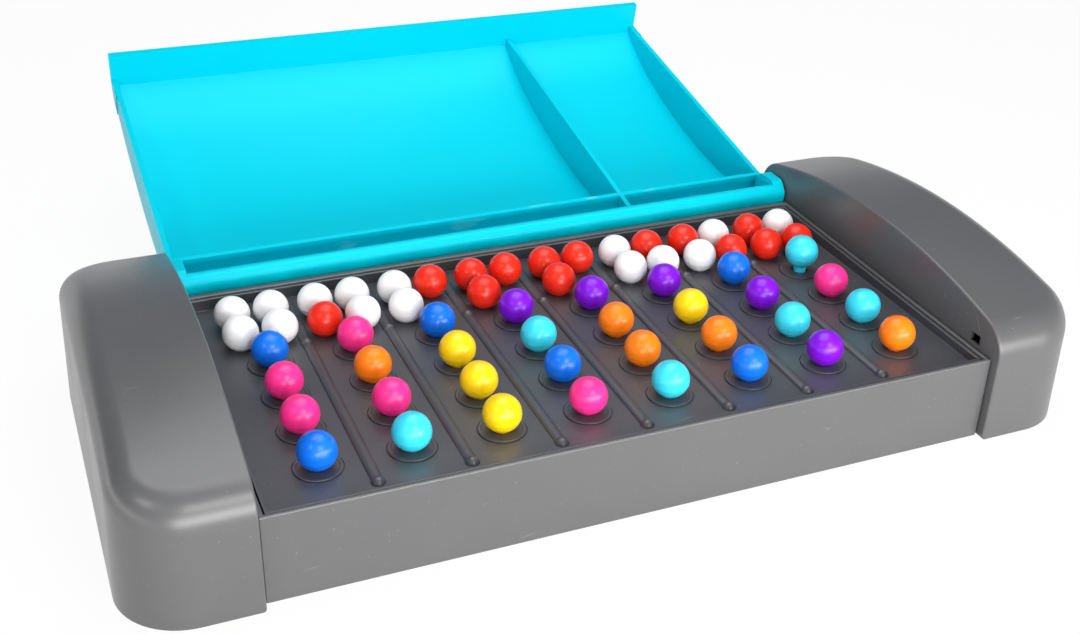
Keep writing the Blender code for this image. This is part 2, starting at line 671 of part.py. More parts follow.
def make_lid(material):
    """The lid shell with its compartments, hinge bead, knuckles and pins, on the hinge's empty."""
    hinge = bpy.data.objects.new("lid_hinge", None)
    bpy.context.scene.collection.objects.link(hinge)
    hinge.location = (0, HINGE_Y, HINGE_HEIGHT)
    hinge.rotation_euler = (-LID_OPEN_ANGLE, 0, 0)

    def place(obj):
        obj.parent = hinge
        obj.location = (0, -HINGE_Y, -HINGE_HEIGHT)

    def shape(name, operation, fill):
        combine(lid, name, operation, fill)
        place(lid.modifiers[name].object)

    bm = bmesh.new()
    add_prism_x(bm, lid_outline(), -LID_HALF, LID_HALF)
    lid = add_object("lid", mesh_of("lid", bm), material)
    place(lid)
    inner = LID_HALF - LID_WALL
    spans = (
        ("large", -inner, DIVIDER_PLACE - DIVIDER_THICKNESS / 2),
        ("small", DIVIDER_PLACE + DIVIDER_THICKNESS / 2, inner),
    )
    for label, *ends in spans:
        shape(label + "_tray", "DIFFERENCE", lambda bm: add_prism_x(bm, compartment_outline(), *ends))
        shape(label + "_channel", "DIFFERENCE", lambda bm: add_prism_x(bm, channel_outline(), *ends))
    bead = arc((BEAD_Y, BEAD_Z), BEAD_RADIUS, 0, 2 * pi, ROUND_SIDES)[:-1]
    shape("bead", "UNION", lambda bm: add_prism_x(bm, bead, -LID_HALF, LID_HALF))

    face = LID_HALF + KNUCKLE_PROUD
    tip = CAP_INNER + CAP_WALL + PIN_OVERHANG
    nub_y = CAP_FRONT + LATCH_SETBACK + FIT_GAP
    nub = (nub_y, nub_y + LATCH_WIDTH - 2 * FIT_GAP)
    nub_rise = (LID_EDGE + FIT_GAP, LID_EDGE + LATCH_RAISE + LATCH_HEIGHT / 2 - FIT_GAP)
    for label, side in (("left", -1), ("right", 1)):
        shape(
            label + "_knuckle",
            "UNION",
            lambda bm: add_prism_x(
                bm,
                knuckle_outline(),
                side * (face - KNUCKLE_WIDTH),
                side * face,
            ),
        )
        shape(
            label + "_pin",
            "UNION",
            lambda bm: add_prism_x(
                bm,
                circle((HINGE_Y, HINGE_HEIGHT), PIN_RADIUS, ROUND_SIDES),
                side * (face - BITE),
                side * tip,
            ),
        )
        shape(
            label + "_nub",
            "UNION",
            lambda bm: add_box(bm, (side * (LID_HALF - BITE), side * (CAP_INNER - FIT_GAP)), nub, nub_rise),
        )


def cover_outline():
    """Plan of the bottom cover: narrow between the tray's walls, wide and rounded inside the caps."""
    waist = TRAY_REAR - FRAME_WALL - FIT_GAP
    wide = CAP_REAR - CAP_WALL - FIT_GAP
    step = CAP_INNER + CAP_WALL + FIT_GAP
    outer = CAP_OUTER - CAP_WALL - COVER_SIDE_GAP
    corner = CAP_CORNER_RADIUS - CAP_WALL - COVER_SIDE_GAP
    centre = (outer - corner, wide - corner)
    quarter = arc(centre, corner, 0, pi / 2, CORNER_STEPS) + [(step, wide), (step, waist)]
    half = quarter + [(-x, y) for x, y in quarter[::-1]]
    return half + [(-x, -y) for x, y in half]


def screw_places():
    """The six cover screws: one near each corner and two on the middle line."""
    corners = [(x, y) for x in (-CAP_SCREW_X, CAP_SCREW_X) for y in (-CAP_SCREW_Y, CAP_SCREW_Y)]
    return corners + [(0, FRAME_SCREW_FRONT), (0, FRAME_SCREW_REAR)]


def make_cover(material):
    """The flat bottom cover with a raised, counterbored seat for each screw."""
    bm = bmesh.new()
    add_prism_z(bm, cover_outline(), 0, COVER_THICKNESS)
    cover = add_object("bottom_cover", mesh_of("bottom_cover", bm), material)

    def seats(bm):
        for place in screw_places():
            add_prism_z(bm, circle(place, SEAT_RADIUS, ROUND_SIDES), COVER_THICKNESS / 2, SEAT_TOP)

    def counterbores(bm):
        for place in screw_places():
            add_prism_z(bm, circle(place, COUNTERBORE_RADIUS, ROUND_SIDES), -CUT_OVERRUN, SCREW_SEAT)

    def clearances(bm):
        for place in screw_places():
            add_prism_z(bm, circle(place, SCREW_RADIUS + FIT_GAP, ROUND_SIDES), 0, SEAT_TOP + CUT_OVERRUN)

    combine(cover, "seats", "UNION", seats)
    combine(cover, "counterbores", "DIFFERENCE", counterbores)
    combine(cover, "clearances", "DIFFERENCE", clearances)


def make_screws(material):
    """Six like pan-head screws with a square drive."""
    head_foot = SCREW_HEAD_SINK
    head_top = head_foot + SCREW_HEAD_HEIGHT
    profile = [
        (0, head_foot + DRIVE_DEPTH),
        (DRIVE_RADIUS, head_foot + DRIVE_DEPTH),
        (DRIVE_RADIUS, head_foot),
        (SCREW_HEAD_RADIUS, head_foot),
        (SCREW_HEAD_RADIUS, head_top),
        (SCREW_RADIUS, head_top),
        (SCREW_RADIUS, SCREW_SEAT + SCREW_LENGTH - SCREW_RADIUS),
        (0, SCREW_SEAT + SCREW_LENGTH),
    ]
    bm = bmesh.new()
    add_turned(bm, profile, BALL_SIDES)
    mesh = mesh_of("cover_screw", bm)
    for number, (x, y) in enumerate(screw_places(), 1):
        add_object(f"cover_screw_{number}", mesh, material, (x, y, 0))


def peg_profile():
    """A ball on a stem, from the tip of the stem up, with the ball's centre at zero height."""
    join = asin(STEM_RADIUS / BALL_RADIUS)
    tip = -BALL_RADIUS - STEM_REACH
    ball = arc((0, 0), BALL_RADIUS, join - pi / 2, pi / 2, BALL_RINGS + 1)[:-1]
    stem = [(0, tip), (STEM_RADIUS, tip)]
    return stem + ball + [(0, BALL_RADIUS)]


def peg_mesh(name):
    bm = bmesh.new()
    add_turned(bm, peg_profile(), BALL_SIDES)
    return mesh_of(name, bm, BALL_CREASE_ANGLE)


def make_code_pegs(materials):
    """One peg in every code hole. Rows count from the front, colours are listed from the far row."""
    mesh = {colour: peg_mesh("code_peg_" + colour) for colour in sorted(materials)}
    for column, (x, colours) in enumerate(zip(board_columns(), CODE_COLOURS), 1):
        for row, colour in enumerate(reversed(colours), 1):
            lift = PROUD_PEG_LIFT if (column, row) == PROUD_PEG else 0
            at = (x, code_row(row), BALL_SEAT + DISC_HEIGHT + lift)
            add_object(f"code_peg_{column}_{row}", mesh[colour], materials[colour], at)


def make_key_pegs(materials):
    """Small groups of key pegs. Neighbours in a group share a neck at the height of their centres."""
    for column, (column_x, groups) in enumerate(zip(board_columns(), KEY_GROUPS), 1):
        for group, (colour, holes) in enumerate(groups, 1):
            name = f"key_peg_{column}_{group}"
            origin_x, origin_y = key_hole(column_x, holes[0])
            places = [key_hole(column_x, hole) for hole in holes]
            places = [(x - origin_x, y - origin_y) for x, y in places]
            peg = add_object(name, peg_mesh(name), materials[colour], (origin_x, origin_y, BALL_SEAT))
            for i, ends in enumerate(zip(places, places[1:])):
                turned = (peg_profile(), BALL_SIDES, ends[1])
                combine(peg, f"peg_{i}", "UNION", lambda bm: add_turned(bm, *turned), peg)
                combine(peg, f"neck_{i}", "UNION", lambda bm: add_neck(bm, *ends), peg)


def add_neck(bm, start, end):
    """A short level bar between two neighbouring balls."""
    run_x, run_y = end[0] - start[0], end[1] - start[1]
    length = hypot(run_x, run_y)
    aim = (run_x / length, run_y / length)
    reach = BALL_RADIUS - BITE
    rings = []
    for along in (reach, length - reach):
        x, y = start[0] + aim[0] * along, start[1] + aim[1] * along
        ring = circle((0, 0), PEG_NECK_RADIUS, HOLE_SIDES)
        rings.append([(x - aim[1] * a, y + aim[0] * a, b) for a, b in ring])
    add_tube(bm, rings)


def build():
    clear_scene()
    shell = make_material("shell_plastic", (0.118, 0.118, 0.119), 0.40)
    board = make_material("board_plastic", (0.050, 0.052, 0.060), 0.30)
    lid = make_material("lid_plastic", (0.000, 0.690, 0.950), 0.33)
    cover = make_material("cover_plastic", (0.090, 0.090, 0.092), 0.55)
    steel = make_material("screw_steel", (0.560, 0.560, 0.570), 0.30, 1.0)
    pegs = {name: make_material(name + "_plastic", colour, 0.25) for name, colour in COLOURS.items()}
    make_frame(shell)
    make_board(board)
    make_cap("left_cap", -1, shell)
    make_cap("right_cap", 1, shell)
    make_lid(lid)
    make_cover(cover)
    make_screws(steel)
    make_code_pegs(pegs)
    make_key_pegs(pegs)
    even_shading("base_frame", "peg_board", "left_cap", "right_cap", "lid", "bottom_cover")


build()
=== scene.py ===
"""Looks of the travel code-breaking game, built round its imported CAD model.

Sizes are in metres and repeat the part's own. The lid is drawn shut and then swung open about its hinge,
as in the part.
"""

from math import acos, asin, atan2, cos, pi, radians, sin, sqrt, tan

import bmesh
import bpy
from mathutils import Matrix, Vector


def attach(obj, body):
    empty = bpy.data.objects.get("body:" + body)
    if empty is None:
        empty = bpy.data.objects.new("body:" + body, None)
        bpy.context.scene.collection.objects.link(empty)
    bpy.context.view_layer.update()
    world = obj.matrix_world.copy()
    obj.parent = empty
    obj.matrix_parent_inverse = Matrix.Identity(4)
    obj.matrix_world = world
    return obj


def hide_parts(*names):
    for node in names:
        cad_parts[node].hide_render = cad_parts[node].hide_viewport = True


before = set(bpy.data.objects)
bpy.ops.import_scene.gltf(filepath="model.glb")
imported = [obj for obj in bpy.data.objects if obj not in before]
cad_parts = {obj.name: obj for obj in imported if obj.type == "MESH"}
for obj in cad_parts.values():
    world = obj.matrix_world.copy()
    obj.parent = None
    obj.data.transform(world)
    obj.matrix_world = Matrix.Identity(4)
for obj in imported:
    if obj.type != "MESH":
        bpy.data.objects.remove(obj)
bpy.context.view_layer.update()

# Clearances and overruns
FIT_GAP = 0.0003
CUT_OVERRUN = 0.001
BITE = 0.0008  # how far a joined piece reaches into its neighbour

# Hole pattern
COLUMNS = 8
CODE_ROWS = 4
COLUMN_PITCH = 0.0188
ROW_PITCH = 0.0134
KEY_ROW_STEP = 0.0093
KEY_PITCH_ACROSS = 0.0087
KEY_PITCH_ALONG = 0.0091
SIDE_MARGIN = 0.0147
FRONT_MARGIN = 0.0148
BACK_MARGIN = 0.0125

# Pegs
BALL_RADIUS = 0.0040
STEM_RADIUS = 0.0016
STEM_REACH = 0.0050
STEM_CHAMFER = 0.0004
SEAM_ANGLE = radians(-14)
SEAM_CLEAR = 0.05
SEAM_FOOT = 0.03
SEAM_CREST = 0.012
SEAM_PROUD = 0.00003
HOLE_RADIUS = 0.00195
PROUD_PEG_LIFT = 0.0013
BALL_SINK = 0.00024

# Tray frame
RIM_HEIGHT = 0.0206
FRONT_RIM_HEIGHT = 0.0197
FRAME_WALL = 0.0016
RIM_WALL = 0.0010
HINGE_BAY_DEPTH = 0.0112
SHELF_HEIGHT = 0.0120
SHELF_THICKNESS = 0.0016
LEDGE_WIDTH = 0.0030
LEDGE_THICKNESS = 0.0016

# Peg board
BOARD_HEIGHT = 0.0174
BOARD_THICKNESS = 0.0018
BOARD_WALL = 0.0008
RIM_STEP = 0.0003
DISC_RADIUS = 0.0049
DISC_HEIGHT = 0.0003
DISC_RIM_WIDTH = 0.0006
DISC_RIM_PROUD = 0.0001
GROOVE_DEPTH = 0.00016
GROOVE_WIDTH = 0.00022
GROOVE_SLANT = 0.0001
RIB_HALF_WIDTH = 0.00125
RIB_HEIGHT = 0.0007
KEY_RIB_HALF_WIDTH = 0.0014
KEY_RIB_HEIGHT = 0.0005
RIB_DOME_RADIUS = 0.0017
RIB_DOME_HEIGHT = 0.0012
RIB_SETBACK = 0.0062

# End caps
CAP_WIDTH = 0.0259
CAP_PROUD = 0.00215
CROWN_RISE = 0.01345
ARCH_RADIUS = 0.1700
ARCH_SHIFT = 0.0011
CAP_NOSE_RADIUS = 0.0080
CAP_CORNER_RADIUS = 0.0141
CAP_EDGE_RADIUS = 0.0059
CAP_DRAFT = radians(2.5)
CAP_WALL = 0.0020
LATCH_WIDTH = 0.0032
LATCH_HEIGHT = 0.0025
LATCH_SETBACK = 0.0070
LATCH_RAISE = 0.0008
LATCH_SKIN = 0.0005
LATCH_RELIEF = 0.0010
RAMP_LENGTH = 0.0040
RAMP_PROUD = 0.00012
RAMP_RIB_DEPTH = 0.00008
RAMP_RIBS = 8
RAMP_TIP_PLACE = 0.75
RAMP_TIP_WIDTH = 0.0002

# Lid
LID_THICKNESS = 0.0015
LID_SIDE_GAP = 0.0006
LID_WALL = 0.0013
CORNER_FILL = 0.0020
SHOULDER_RADIUS = 0.0600
FLANGE_OVERLAP = 0.0070
DIVIDER_THICKNESS = 0.0012
BACK_RAIL_THICKNESS = 0.0012
HINGE_SETBACK = 0.00525
HINGE_RISE = 0.0007
PIN_RADIUS = 0.00175
PIN_OVERHANG = 0.0004
KNUCKLE_RADIUS = 0.0051
KNUCKLE_WIDTH = 0.0029
KNUCKLE_PROUD = 0.0002
KNUCKLE_FLAT = 0.0043
BEAD_RADIUS = 0.0023
BEAD_DROP = 0.0016
LID_OPEN_ANGLE = radians(168.6)
FLANGE_END_PROUD = 0.00025
FLANGE_END_REACH = 0.0062

# Bottom cover and screws
COVER_THICKNESS = 0.0018
COVER_SIDE_GAP = 0.0005
SCREW_HEAD_RADIUS = 0.0025
SCREW_HEAD_HEIGHT = 0.0013
SCREW_HEAD_SINK = 0.0004
SCREW_RADIUS = 0.0013
SCREW_LENGTH = 0.0078
SCREW_HEAD_ROUND = 0.0007
THREAD_PITCH = 0.0006
THREAD_DEPTH = 0.00012
RECESS_HALF_WIDTH = 0.00022
RECESS_REACH = 0.0013
RECESS_DEPTH = 0.0009
SEAT_WALL = 0.0012
BOSS_WALL = 0.0016
PILOT_SPARE_DEPTH = 0.0010
CAP_SCREW_INSET = 0.0127
FRAME_SCREW_INSET = 0.0065

# Facet counts of the looks
BALL_SIDES = 48
BALL_RINGS = 24
HOLE_SIDES = 32
ROUND_SIDES = 48
ARCH_STEPS = 56
NOSE_STEPS = 14
CORNER_STEPS = 16
EDGE_STEPS = 12
SHOULDER_STEPS = 14
SIDE_STEPS = 24
BEAD_SIDES = 32
SCREW_SIDES = 32
RIB_STEPS = 14
DOME_STEPS = 14
HEAD_STEPS = 8

# Softened edges, creases and welding
RIM_SOFTNESS = 0.00035
FRAME_SOFTNESS = 0.0002
BOARD_SOFTNESS = 0.00022
CAP_SOFTNESS = 0.0005
CAP_SOFT_ANGLE = radians(40)
LID_SOFTNESS = 0.0002
LID_SOFT_ANGLE = radians(35)
COVER_SOFTNESS = 0.00015
CREASE = radians(40)
BOARD_CREASE = radians(20)
PEG_CREASE = radians(45)
LEVEL_NORMAL = 0.9999  # least upright share of a level face's normal
ON_PLANE = 1e-5
ABOVE_FOOT = 0.0005
WELD_REACH = 2e-6
FLAT_ANGLE = radians(0.06)

# Boolean operations
ADD = "UNION"
CUT = "DIFFERENCE"

# Tray lines, from the sizes above
BAY_WIDTH = (COLUMNS - 1) * COLUMN_PITCH + 2 * SIDE_MARGIN
PATTERN_DEPTH = (CODE_ROWS - 1) * ROW_PITCH + KEY_ROW_STEP + KEY_PITCH_ALONG
WELL_DEPTH = FRONT_MARGIN + PATTERN_DEPTH + BACK_MARGIN
TRAY_DEPTH = WELL_DEPTH + HINGE_BAY_DEPTH
TRAY_FRONT = -TRAY_DEPTH / 2
TRAY_REAR = TRAY_DEPTH / 2
WELL_REAR = TRAY_FRONT + WELL_DEPTH
WELL_INNER_REAR = WELL_REAR - FRAME_WALL
FRAME_HALF = BAY_WIDTH / 2 - FIT_GAP
FRAME_INNER_HALF = FRAME_HALF - FRAME_WALL
BOARD_UNDERSIDE = BOARD_HEIGHT - BOARD_THICKNESS
BOARD_ROOT = BOARD_HEIGHT - BOARD_THICKNESS / 2
LEDGE_HEIGHT = BOARD_UNDERSIDE - FIT_GAP
BALL_SEAT = BOARD_HEIGHT + sqrt((BALL_RADIUS + FIT_GAP) ** 2 - HOLE_RADIUS**2)
CODE_FRONT = TRAY_FRONT + FRONT_MARGIN
KEY_FRONT = CODE_FRONT + (CODE_ROWS - 1) * ROW_PITCH + KEY_ROW_STEP

# Cap lines
CAP_INNER = BAY_WIDTH / 2
CAP_OUTER = CAP_INNER + CAP_WIDTH
CAP_FRONT = TRAY_FRONT - CAP_PROUD
CAP_REAR = TRAY_REAR + CAP_PROUD
ARCH_CENTRE = RIM_HEIGHT + CROWN_RISE - ARCH_RADIUS

# Lid lines
LID_HALF = CAP_INNER - LID_SIDE_GAP
DIVIDER_PLACE = 2 * COLUMN_PITCH
LID_EDGE = RIM_HEIGHT + FIT_GAP
FLANGE_EDGE = LID_EDGE - FIT_GAP - FLANGE_OVERLAP
FLANGE_INNER = TRAY_FRONT - FIT_GAP
LID_REAR_RADIUS = CAP_NOSE_RADIUS - CAP_PROUD
HINGE_Y = TRAY_REAR - HINGE_SETBACK
HINGE_HEIGHT = RIM_HEIGHT + HINGE_RISE
BEAD_Y = TRAY_REAR - BEAD_RADIUS
BEAD_Z = HINGE_HEIGHT - BEAD_DROP
BACK_RAIL_REAR = WELL_INNER_REAR + FIT_GAP
BACK_RAIL_FRONT = BACK_RAIL_REAR - BACK_RAIL_THICKNESS

# Screw lines
SCREW_SEAT = SCREW_HEAD_SINK + SCREW_HEAD_HEIGHT + FIT_GAP
SEAT_TOP = SCREW_SEAT + SEAT_WALL
BOSS_FOOT = SEAT_TOP + FIT_GAP
WALL_FOOT = COVER_THICKNESS + FIT_GAP
BOSS_RADIUS = SCREW_RADIUS + FIT_GAP + BOSS_WALL
COUNTERBORE_RADIUS = SCREW_HEAD_RADIUS + FIT_GAP
SEAT_RADIUS = COUNTERBORE_RADIUS + SEAT_WALL
PILOT_TOP = SCREW_SEAT + SCREW_LENGTH + PILOT_SPARE_DEPTH
CAP_SCREW_X = CAP_INNER + CAP_WIDTH / 2
CAP_SCREW_Y = CAP_REAR - CAP_SCREW_INSET
FRAME_SCREW_FRONT = TRAY_FRONT + FRAME_SCREW_INSET
FRAME_SCREW_REAR = TRAY_REAR - FRAME_SCREW_INSET

# Peg colours, far row first for each column from the left
CODE_COLOURS = (
    ("blue", "pink", "pink", "blue"),
    ("pink", "orange", "pink", "cyan"),
    ("blue", "yellow", "yellow", "yellow"),
    ("purple", "cyan", "blue", "pink"),
    ("purple", "orange", "orange", "cyan"),
    ("purple", "yellow", "orange", "blue"),
    ("blue", "purple", "cyan", "purple"),
    ("cyan", "pink", "cyan", "orange"),
)
PROUD_PEG = (COLUMNS, CODE_ROWS)

# Key pegs of each column: the CAD groups, each a colour and its holes
KEY_GROUPS = (
    (("white", ("far_left", "far_right", "near_right", "near_left")),),
    (("white", ("far_left", "far_right", "near_right")), ("red", ("near_left",))),
    (("white", ("far_left",)), ("red", ("far_right",)), ("white", ("near_left",))),
    (("red", ("near_left", "far_left", "far_right")),),
    (("red", ("near_left", "far_left", "far_right")),),
    (("white", ("far_left", "near_left", "near_right")), ("red", ("far_right",))),
    (
        ("red", ("far_left",)),
        ("white", ("far_right",)),
        ("white", ("near_left",)),
        ("red", ("near_right",)),
    ),
    (("red", ("far_left", "near_left", "near_right")), ("white", ("far_right",))),
)

# Base colours
SHELL_COLOUR = (0.094, 0.094, 0.096)
BOARD_COLOUR = (0.047, 0.049, 0.056)
LID_COLOUR = (0.0, 0.54, 0.67)
# Lighter colour of the lid's rub marks: a painted highlight standing in for their glare
RUB_GLARE_COLOUR = (0.30, 0.93, 1.0)
COVER_COLOUR = (0.090, 0.090, 0.092)
STEEL_COLOURS = ((0.45, 0.45, 0.46), (0.66, 0.66, 0.67))
FLOOR_COLOURS = ((0.86, 0.86, 0.86), (0.88, 0.88, 0.88))
PEG_COLOURS = {
    "blue": (0.002, 0.150, 0.760),
    "pink": (0.950, 0.030, 0.260),
    "orange": (0.960, 0.205, 0.004),
    "cyan": (0.040, 0.640, 0.820),
    "yellow": (0.970, 0.640, 0.003),
    "purple": (0.200, 0.003, 0.640),
    "white": (0.900, 0.900, 0.905),
    "red": (0.820, 0.022, 0.006),
}


def add_object(name, mesh, material=None):
    obj = bpy.data.objects.new(name, mesh)
    bpy.context.scene.collection.objects.link(obj)
    if material:
        mesh.materials.clear()
        mesh.materials.append(material)
    return obj


def mesh_of(name, bm, crease=radians(30)):
    bmesh.ops.recalc_face_normals(bm, faces=bm.faces)
    mesh = bpy.data.meshes.new(name)
    bm.to_mesh(mesh)
    bm.free()
    mesh.shade_smooth()
    mesh.set_sharp_from_angle(angle=crease)
    return mesh


def bake_modifiers(obj):
    """Turns the object's modifiers into its own mesh."""
    graph = bpy.context.evaluated_depsgraph_get()
    graph.update()
    mesh = bpy.data.meshes.new_from_object(obj.evaluated_get(graph), depsgraph=graph)
    obj.modifiers.clear()
    old, obj.data = obj.data, mesh
    bpy.data.meshes.remove(old)
    mesh.name = obj.name


def combine(obj, *steps):
    """Adds or cuts solids in turn, each given as an operation and a function that draws it."""
    helpers = []
    for operation, fill in steps:
        bm = bmesh.new()
        fill(bm)
        helper = add_object(obj.name + "_tool", mesh_of("tool", bm))
        modifier = obj.modifiers.new("shape", "BOOLEAN")
        modifier.operation = operation
        modifier.solver = "EXACT"
        modifier.object = helper
        helpers.append(helper)
    bake_modifiers(obj)
    for helper in helpers:
        mesh = helper.data
        bpy.data.objects.remove(helper)
        bpy.data.meshes.remove(mesh)


def tidy(bm):
    """Welds a Boolean's result and makes its flat faces whole again."""
    bmesh.ops.remove_doubles(bm, verts=bm.verts, dist=WELD_REACH)
    bmesh.ops.dissolve_degenerate(bm, edges=bm.edges, dist=WELD_REACH)
    bmesh.ops.dissolve_limit(
        bm, angle_limit=FLAT_ANGLE, verts=bm.verts, edges=bm.edges, use_dissolve_boundaries=False
    )


def tidy_object(obj):
    """The same for an object's own mesh."""
    bm = bmesh.new()
    bm.from_mesh(obj.data)
    tidy(bm)
    bm.to_mesh(obj.data)
    bm.free()


def soften(obj, width, segments=2, angle=radians(30), pick=None):
    """Rounds the sharp edges whose middle pick(middle) accepts."""
    bm = bmesh.new()
    bm.from_mesh(obj.data)
    tidy(bm)
    sharp = []
    for edge in bm.edges:
        if not edge.is_manifold or edge.calc_face_angle(0) < angle:
            continue
        middle = (edge.verts[0].co + edge.verts[1].co) / 2
        if pick is None or pick(middle):
            sharp.append(edge)
    bmesh.ops.bevel(
        bm,
        geom=sharp,
        offset=width,
        offset_type="OFFSET",
        segments=segments,
        profile=0.5,
        affect="EDGES",
        clamp_overlap=True,
        miter_outer="ARC",
    )
    bm.to_mesh(obj.data)
    bm.free()


def add_even_shading(obj):
    obj.modifiers.new("even_shading", "WEIGHTED_NORMAL").keep_sharp = True


def finish_shading(obj, crease=CREASE, level_faces=False):
    """Smooth shading with sharp creases. With level_faces the level faces stay flat, without a gradient."""
    obj.data.shade_smooth()
    if level_faces:
        for face in obj.data.polygons:
            face.use_smooth = abs(face.normal.z) < LEVEL_NORMAL
    obj.data.set_sharp_from_angle(angle=crease)
    add_even_shading(obj)
    return obj


def settle(obj, body, material_slot, *nodes):
    """Puts a finished piece on its body and in place of its CAD nodes."""
    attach(obj, body)
    if nodes:
        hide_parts(*nodes)


def add_tube(bm, rings):
    """Skins a closed tube over rings of equal length and caps both ends."""
    loops = [[bm.verts.new(point) for point in ring] for ring in rings]
    for low, high in zip(loops, loops[1:]):
        for i in range(len(low)):
            j = (i + 1) % len(low)
            bm.faces.new((low[i], low[j], high[j], high[i]))
    bm.faces.new(reversed(loops[0]))
    bm.faces.new(loops[-1])


def arc(centre, radius, start, end, steps):
    """Points from start to end angle, both included, round a centre in any plane."""
    angles = [start + (end - start) * i / steps for i in range(steps + 1)]
    return [(centre[0] + radius * cos(a), centre[1] + radius * sin(a)) for a in angles]


def circle(centre, radius, sides):
    return arc(centre, radius, pi / sides, 2 * pi + pi / sides, sides)[:-1]


def add_prism_x(bm, outline, x_from, x_to):
    add_tube(bm, [[(x, y, z) for y, z in outline] for x in (x_from, x_to)])


def add_prism_z(bm, outline, z_from, z_to):
    add_tube(bm, [[(x, y, z) for x, y in outline] for z in (z_from, z_to)])


def add_box(bm, x_range, y_range, z_range):
    (x0, x1), (y0, y1) = x_range, y_range
    add_prism_z(bm, [(x0, y0), (x1, y0), (x1, y1), (x0, y1)], *z_range)


def add_stack(bm, profile, sides, centre):
    """Stacks circles given as (radius, z), with one flat face at each end."""
    add_tube(bm, [[(x, y, z) for x, y in circle(centre, radius, sides)] for radius, z in profile])


def add_turned(bm, profile, sides, centre=(0, 0)):
    """Turns (radius, z) points about an upright axis. A zero radius closes that end in a point."""
    rings = []
    for radius, z in profile:
        if radius > 0:
            rings.append([bm.verts.new((x, y, z)) for x, y in circle(centre, radius, sides)])
        else:
            rings.append([bm.verts.new((*centre, z))])
    for low, high in zip(rings, rings[1:]):
        for i in range(sides):
            j = (i + 1) % sides
            corners = [low[i % len(low)], low[j % len(low)], high[j % len(high)], high[i % len(high)]]
            bm.faces.new(list(dict.fromkeys(corners)))


def arch_height(y, inset=0.0):
    """Height of the crown arch at y, or of the same arch shrunk by inset."""
    return ARCH_CENTRE + sqrt((ARCH_RADIUS - inset) ** 2 - (y - ARCH_SHIFT) ** 2)


def nose_centre(y_edge, radius, inset=0.0):
    y = y_edge + radius if y_edge < 0 else y_edge - radius
    return y, arch_height(y, inset + radius)


def nose_points(y_edge, radius, inset=0.0):
    """The round at one end of the arch, from the upright face up to the arch."""
    y, z = nose_centre(y_edge, radius, inset)
    upright = pi if y_edge < 0 else 0
    return arc((y, z), radius, upright, atan2(z - ARCH_CENTRE, y - ARCH_SHIFT), NOSE_STEPS)


def arch_points(y_from, y_to, inset=0.0):
    radius = ARCH_RADIUS - inset
    start, end = (acos((y - ARCH_SHIFT) / radius) for y in (y_from, y_to))
    return arc((ARCH_SHIFT, ARCH_CENTRE), radius, start, end, ARCH_STEPS)


def crown(front, front_radius, rear, rear_radius, inset=0.0):
    """Nose, arch and nose, from the front upright face to the rear one."""
    front_nose = nose_points(front, front_radius, inset)
    rear_nose = nose_points(rear, rear_radius, inset)
    return front_nose + arch_points(front_nose[-1][0], rear_nose[-1][0], inset)[1:-1] + rear_nose[::-1]


def cap_stations(shrink):
    """Plan points of the cap's U-shaped outer wall with their outward normals and edge radii."""
    inner = CAP_INNER + (CAP_WALL if shrink else 0)
    outer = CAP_OUTER - shrink
    front, rear = CAP_FRONT + shrink, CAP_REAR - shrink
    corner = CAP_CORNER_RADIUS - shrink
    nose, edge = CAP_NOSE_RADIUS - shrink, CAP_EDGE_RADIUS - shrink
    stations = [(inner, front, 0.0, -1.0, nose)]
    for i in range(CORNER_STEPS + 1):
        turn = pi / 2 * i / CORNER_STEPS
        x, y = outer - corner + corner * sin(turn), front + corner - corner * cos(turn)
        stations.append((x, y, sin(turn), -cos(turn), nose + (edge - nose) * sin(turn) ** 2))
    straight = (rear - front) / 2 - corner
    for i in range(1, SIDE_STEPS):
        stations.append((outer, straight * (2 * i / SIDE_STEPS - 1), 1.0, 0.0, edge))
    mirrored = [(x, -y, nx, -ny, r) for x, y, nx, ny, r in stations[: CORNER_STEPS + 2]]
    return stations + mirrored[::-1]


def cap_rings(shrink, foot):
    """Rings of the cap's skin, from its foot up through the rounded edge, one point per station."""
    rings = [[] for _ in range(EDGE_STEPS + 2)]
    for x, y, nx, ny, radius in cap_stations(shrink):
        fall = asin(ny * (y - ny * radius - ARCH_SHIFT) / (ARCH_RADIUS - shrink - radius))
        last = pi / 2 - fall
        top_y = y - ny * radius * (1 - cos(last))
        centre_z = arch_height(top_y, shrink) - radius * sin(last)
        lean = tan(CAP_DRAFT) * nx
        rings[0].append((x - lean * foot, y, foot))
        for i in range(EDGE_STEPS + 1):
            turn = last * i / EDGE_STEPS
            back = radius * (1 - cos(turn))
            across = x - nx * back - lean * centre_z
            rings[i + 1].append((across, y - ny * back, centre_z + radius * sin(turn)))
    return rings


def add_cap_solid(bm, side, shrink, foot):
    """The cap's outer body, or the hollow inside it, closed by its flat inner face."""
    rings = [[(side * x, y, z) for x, y, z in ring] for ring in cap_rings(shrink, foot)]
    loops = [[bm.verts.new(point) for point in ring] for ring in rings]
    for low, high in zip(loops, loops[1:]):
        for i in range(len(low) - 1):
            bm.faces.new((low[i], low[i + 1], high[i + 1], high[i]))
    top = loops[-1]
    inner_x = top[0].co.x
    ridge = [top[0]]
    for vert in top[2:-2]:
        ridge.append(bm.verts.new((inner_x, vert.co.y, arch_height(vert.co.y, shrink))))
    ridge.append(top[-1])
    shoulder = top[1:-1]
    for i in range(len(ridge) - 1):
        bm.faces.new((ridge[i], shoulder[i], shoulder[i + 1], ridge[i + 1]))
    bm.faces.new(loops[0])
    front_edge = [loop[0] for loop in loops[:-1]]
    rear_edge = [loop[-1] for loop in loops[:-1]]
    bm.faces.new(front_edge + ridge + rear_edge[::-1])


def rim_height(y):
    """Height of the rim, which falls a little towards the front."""
    return FRONT_RIM_HEIGHT + (RIM_HEIGHT - FRONT_RIM_HEIGHT) * (y - TRAY_FRONT) / WELL_DEPTH


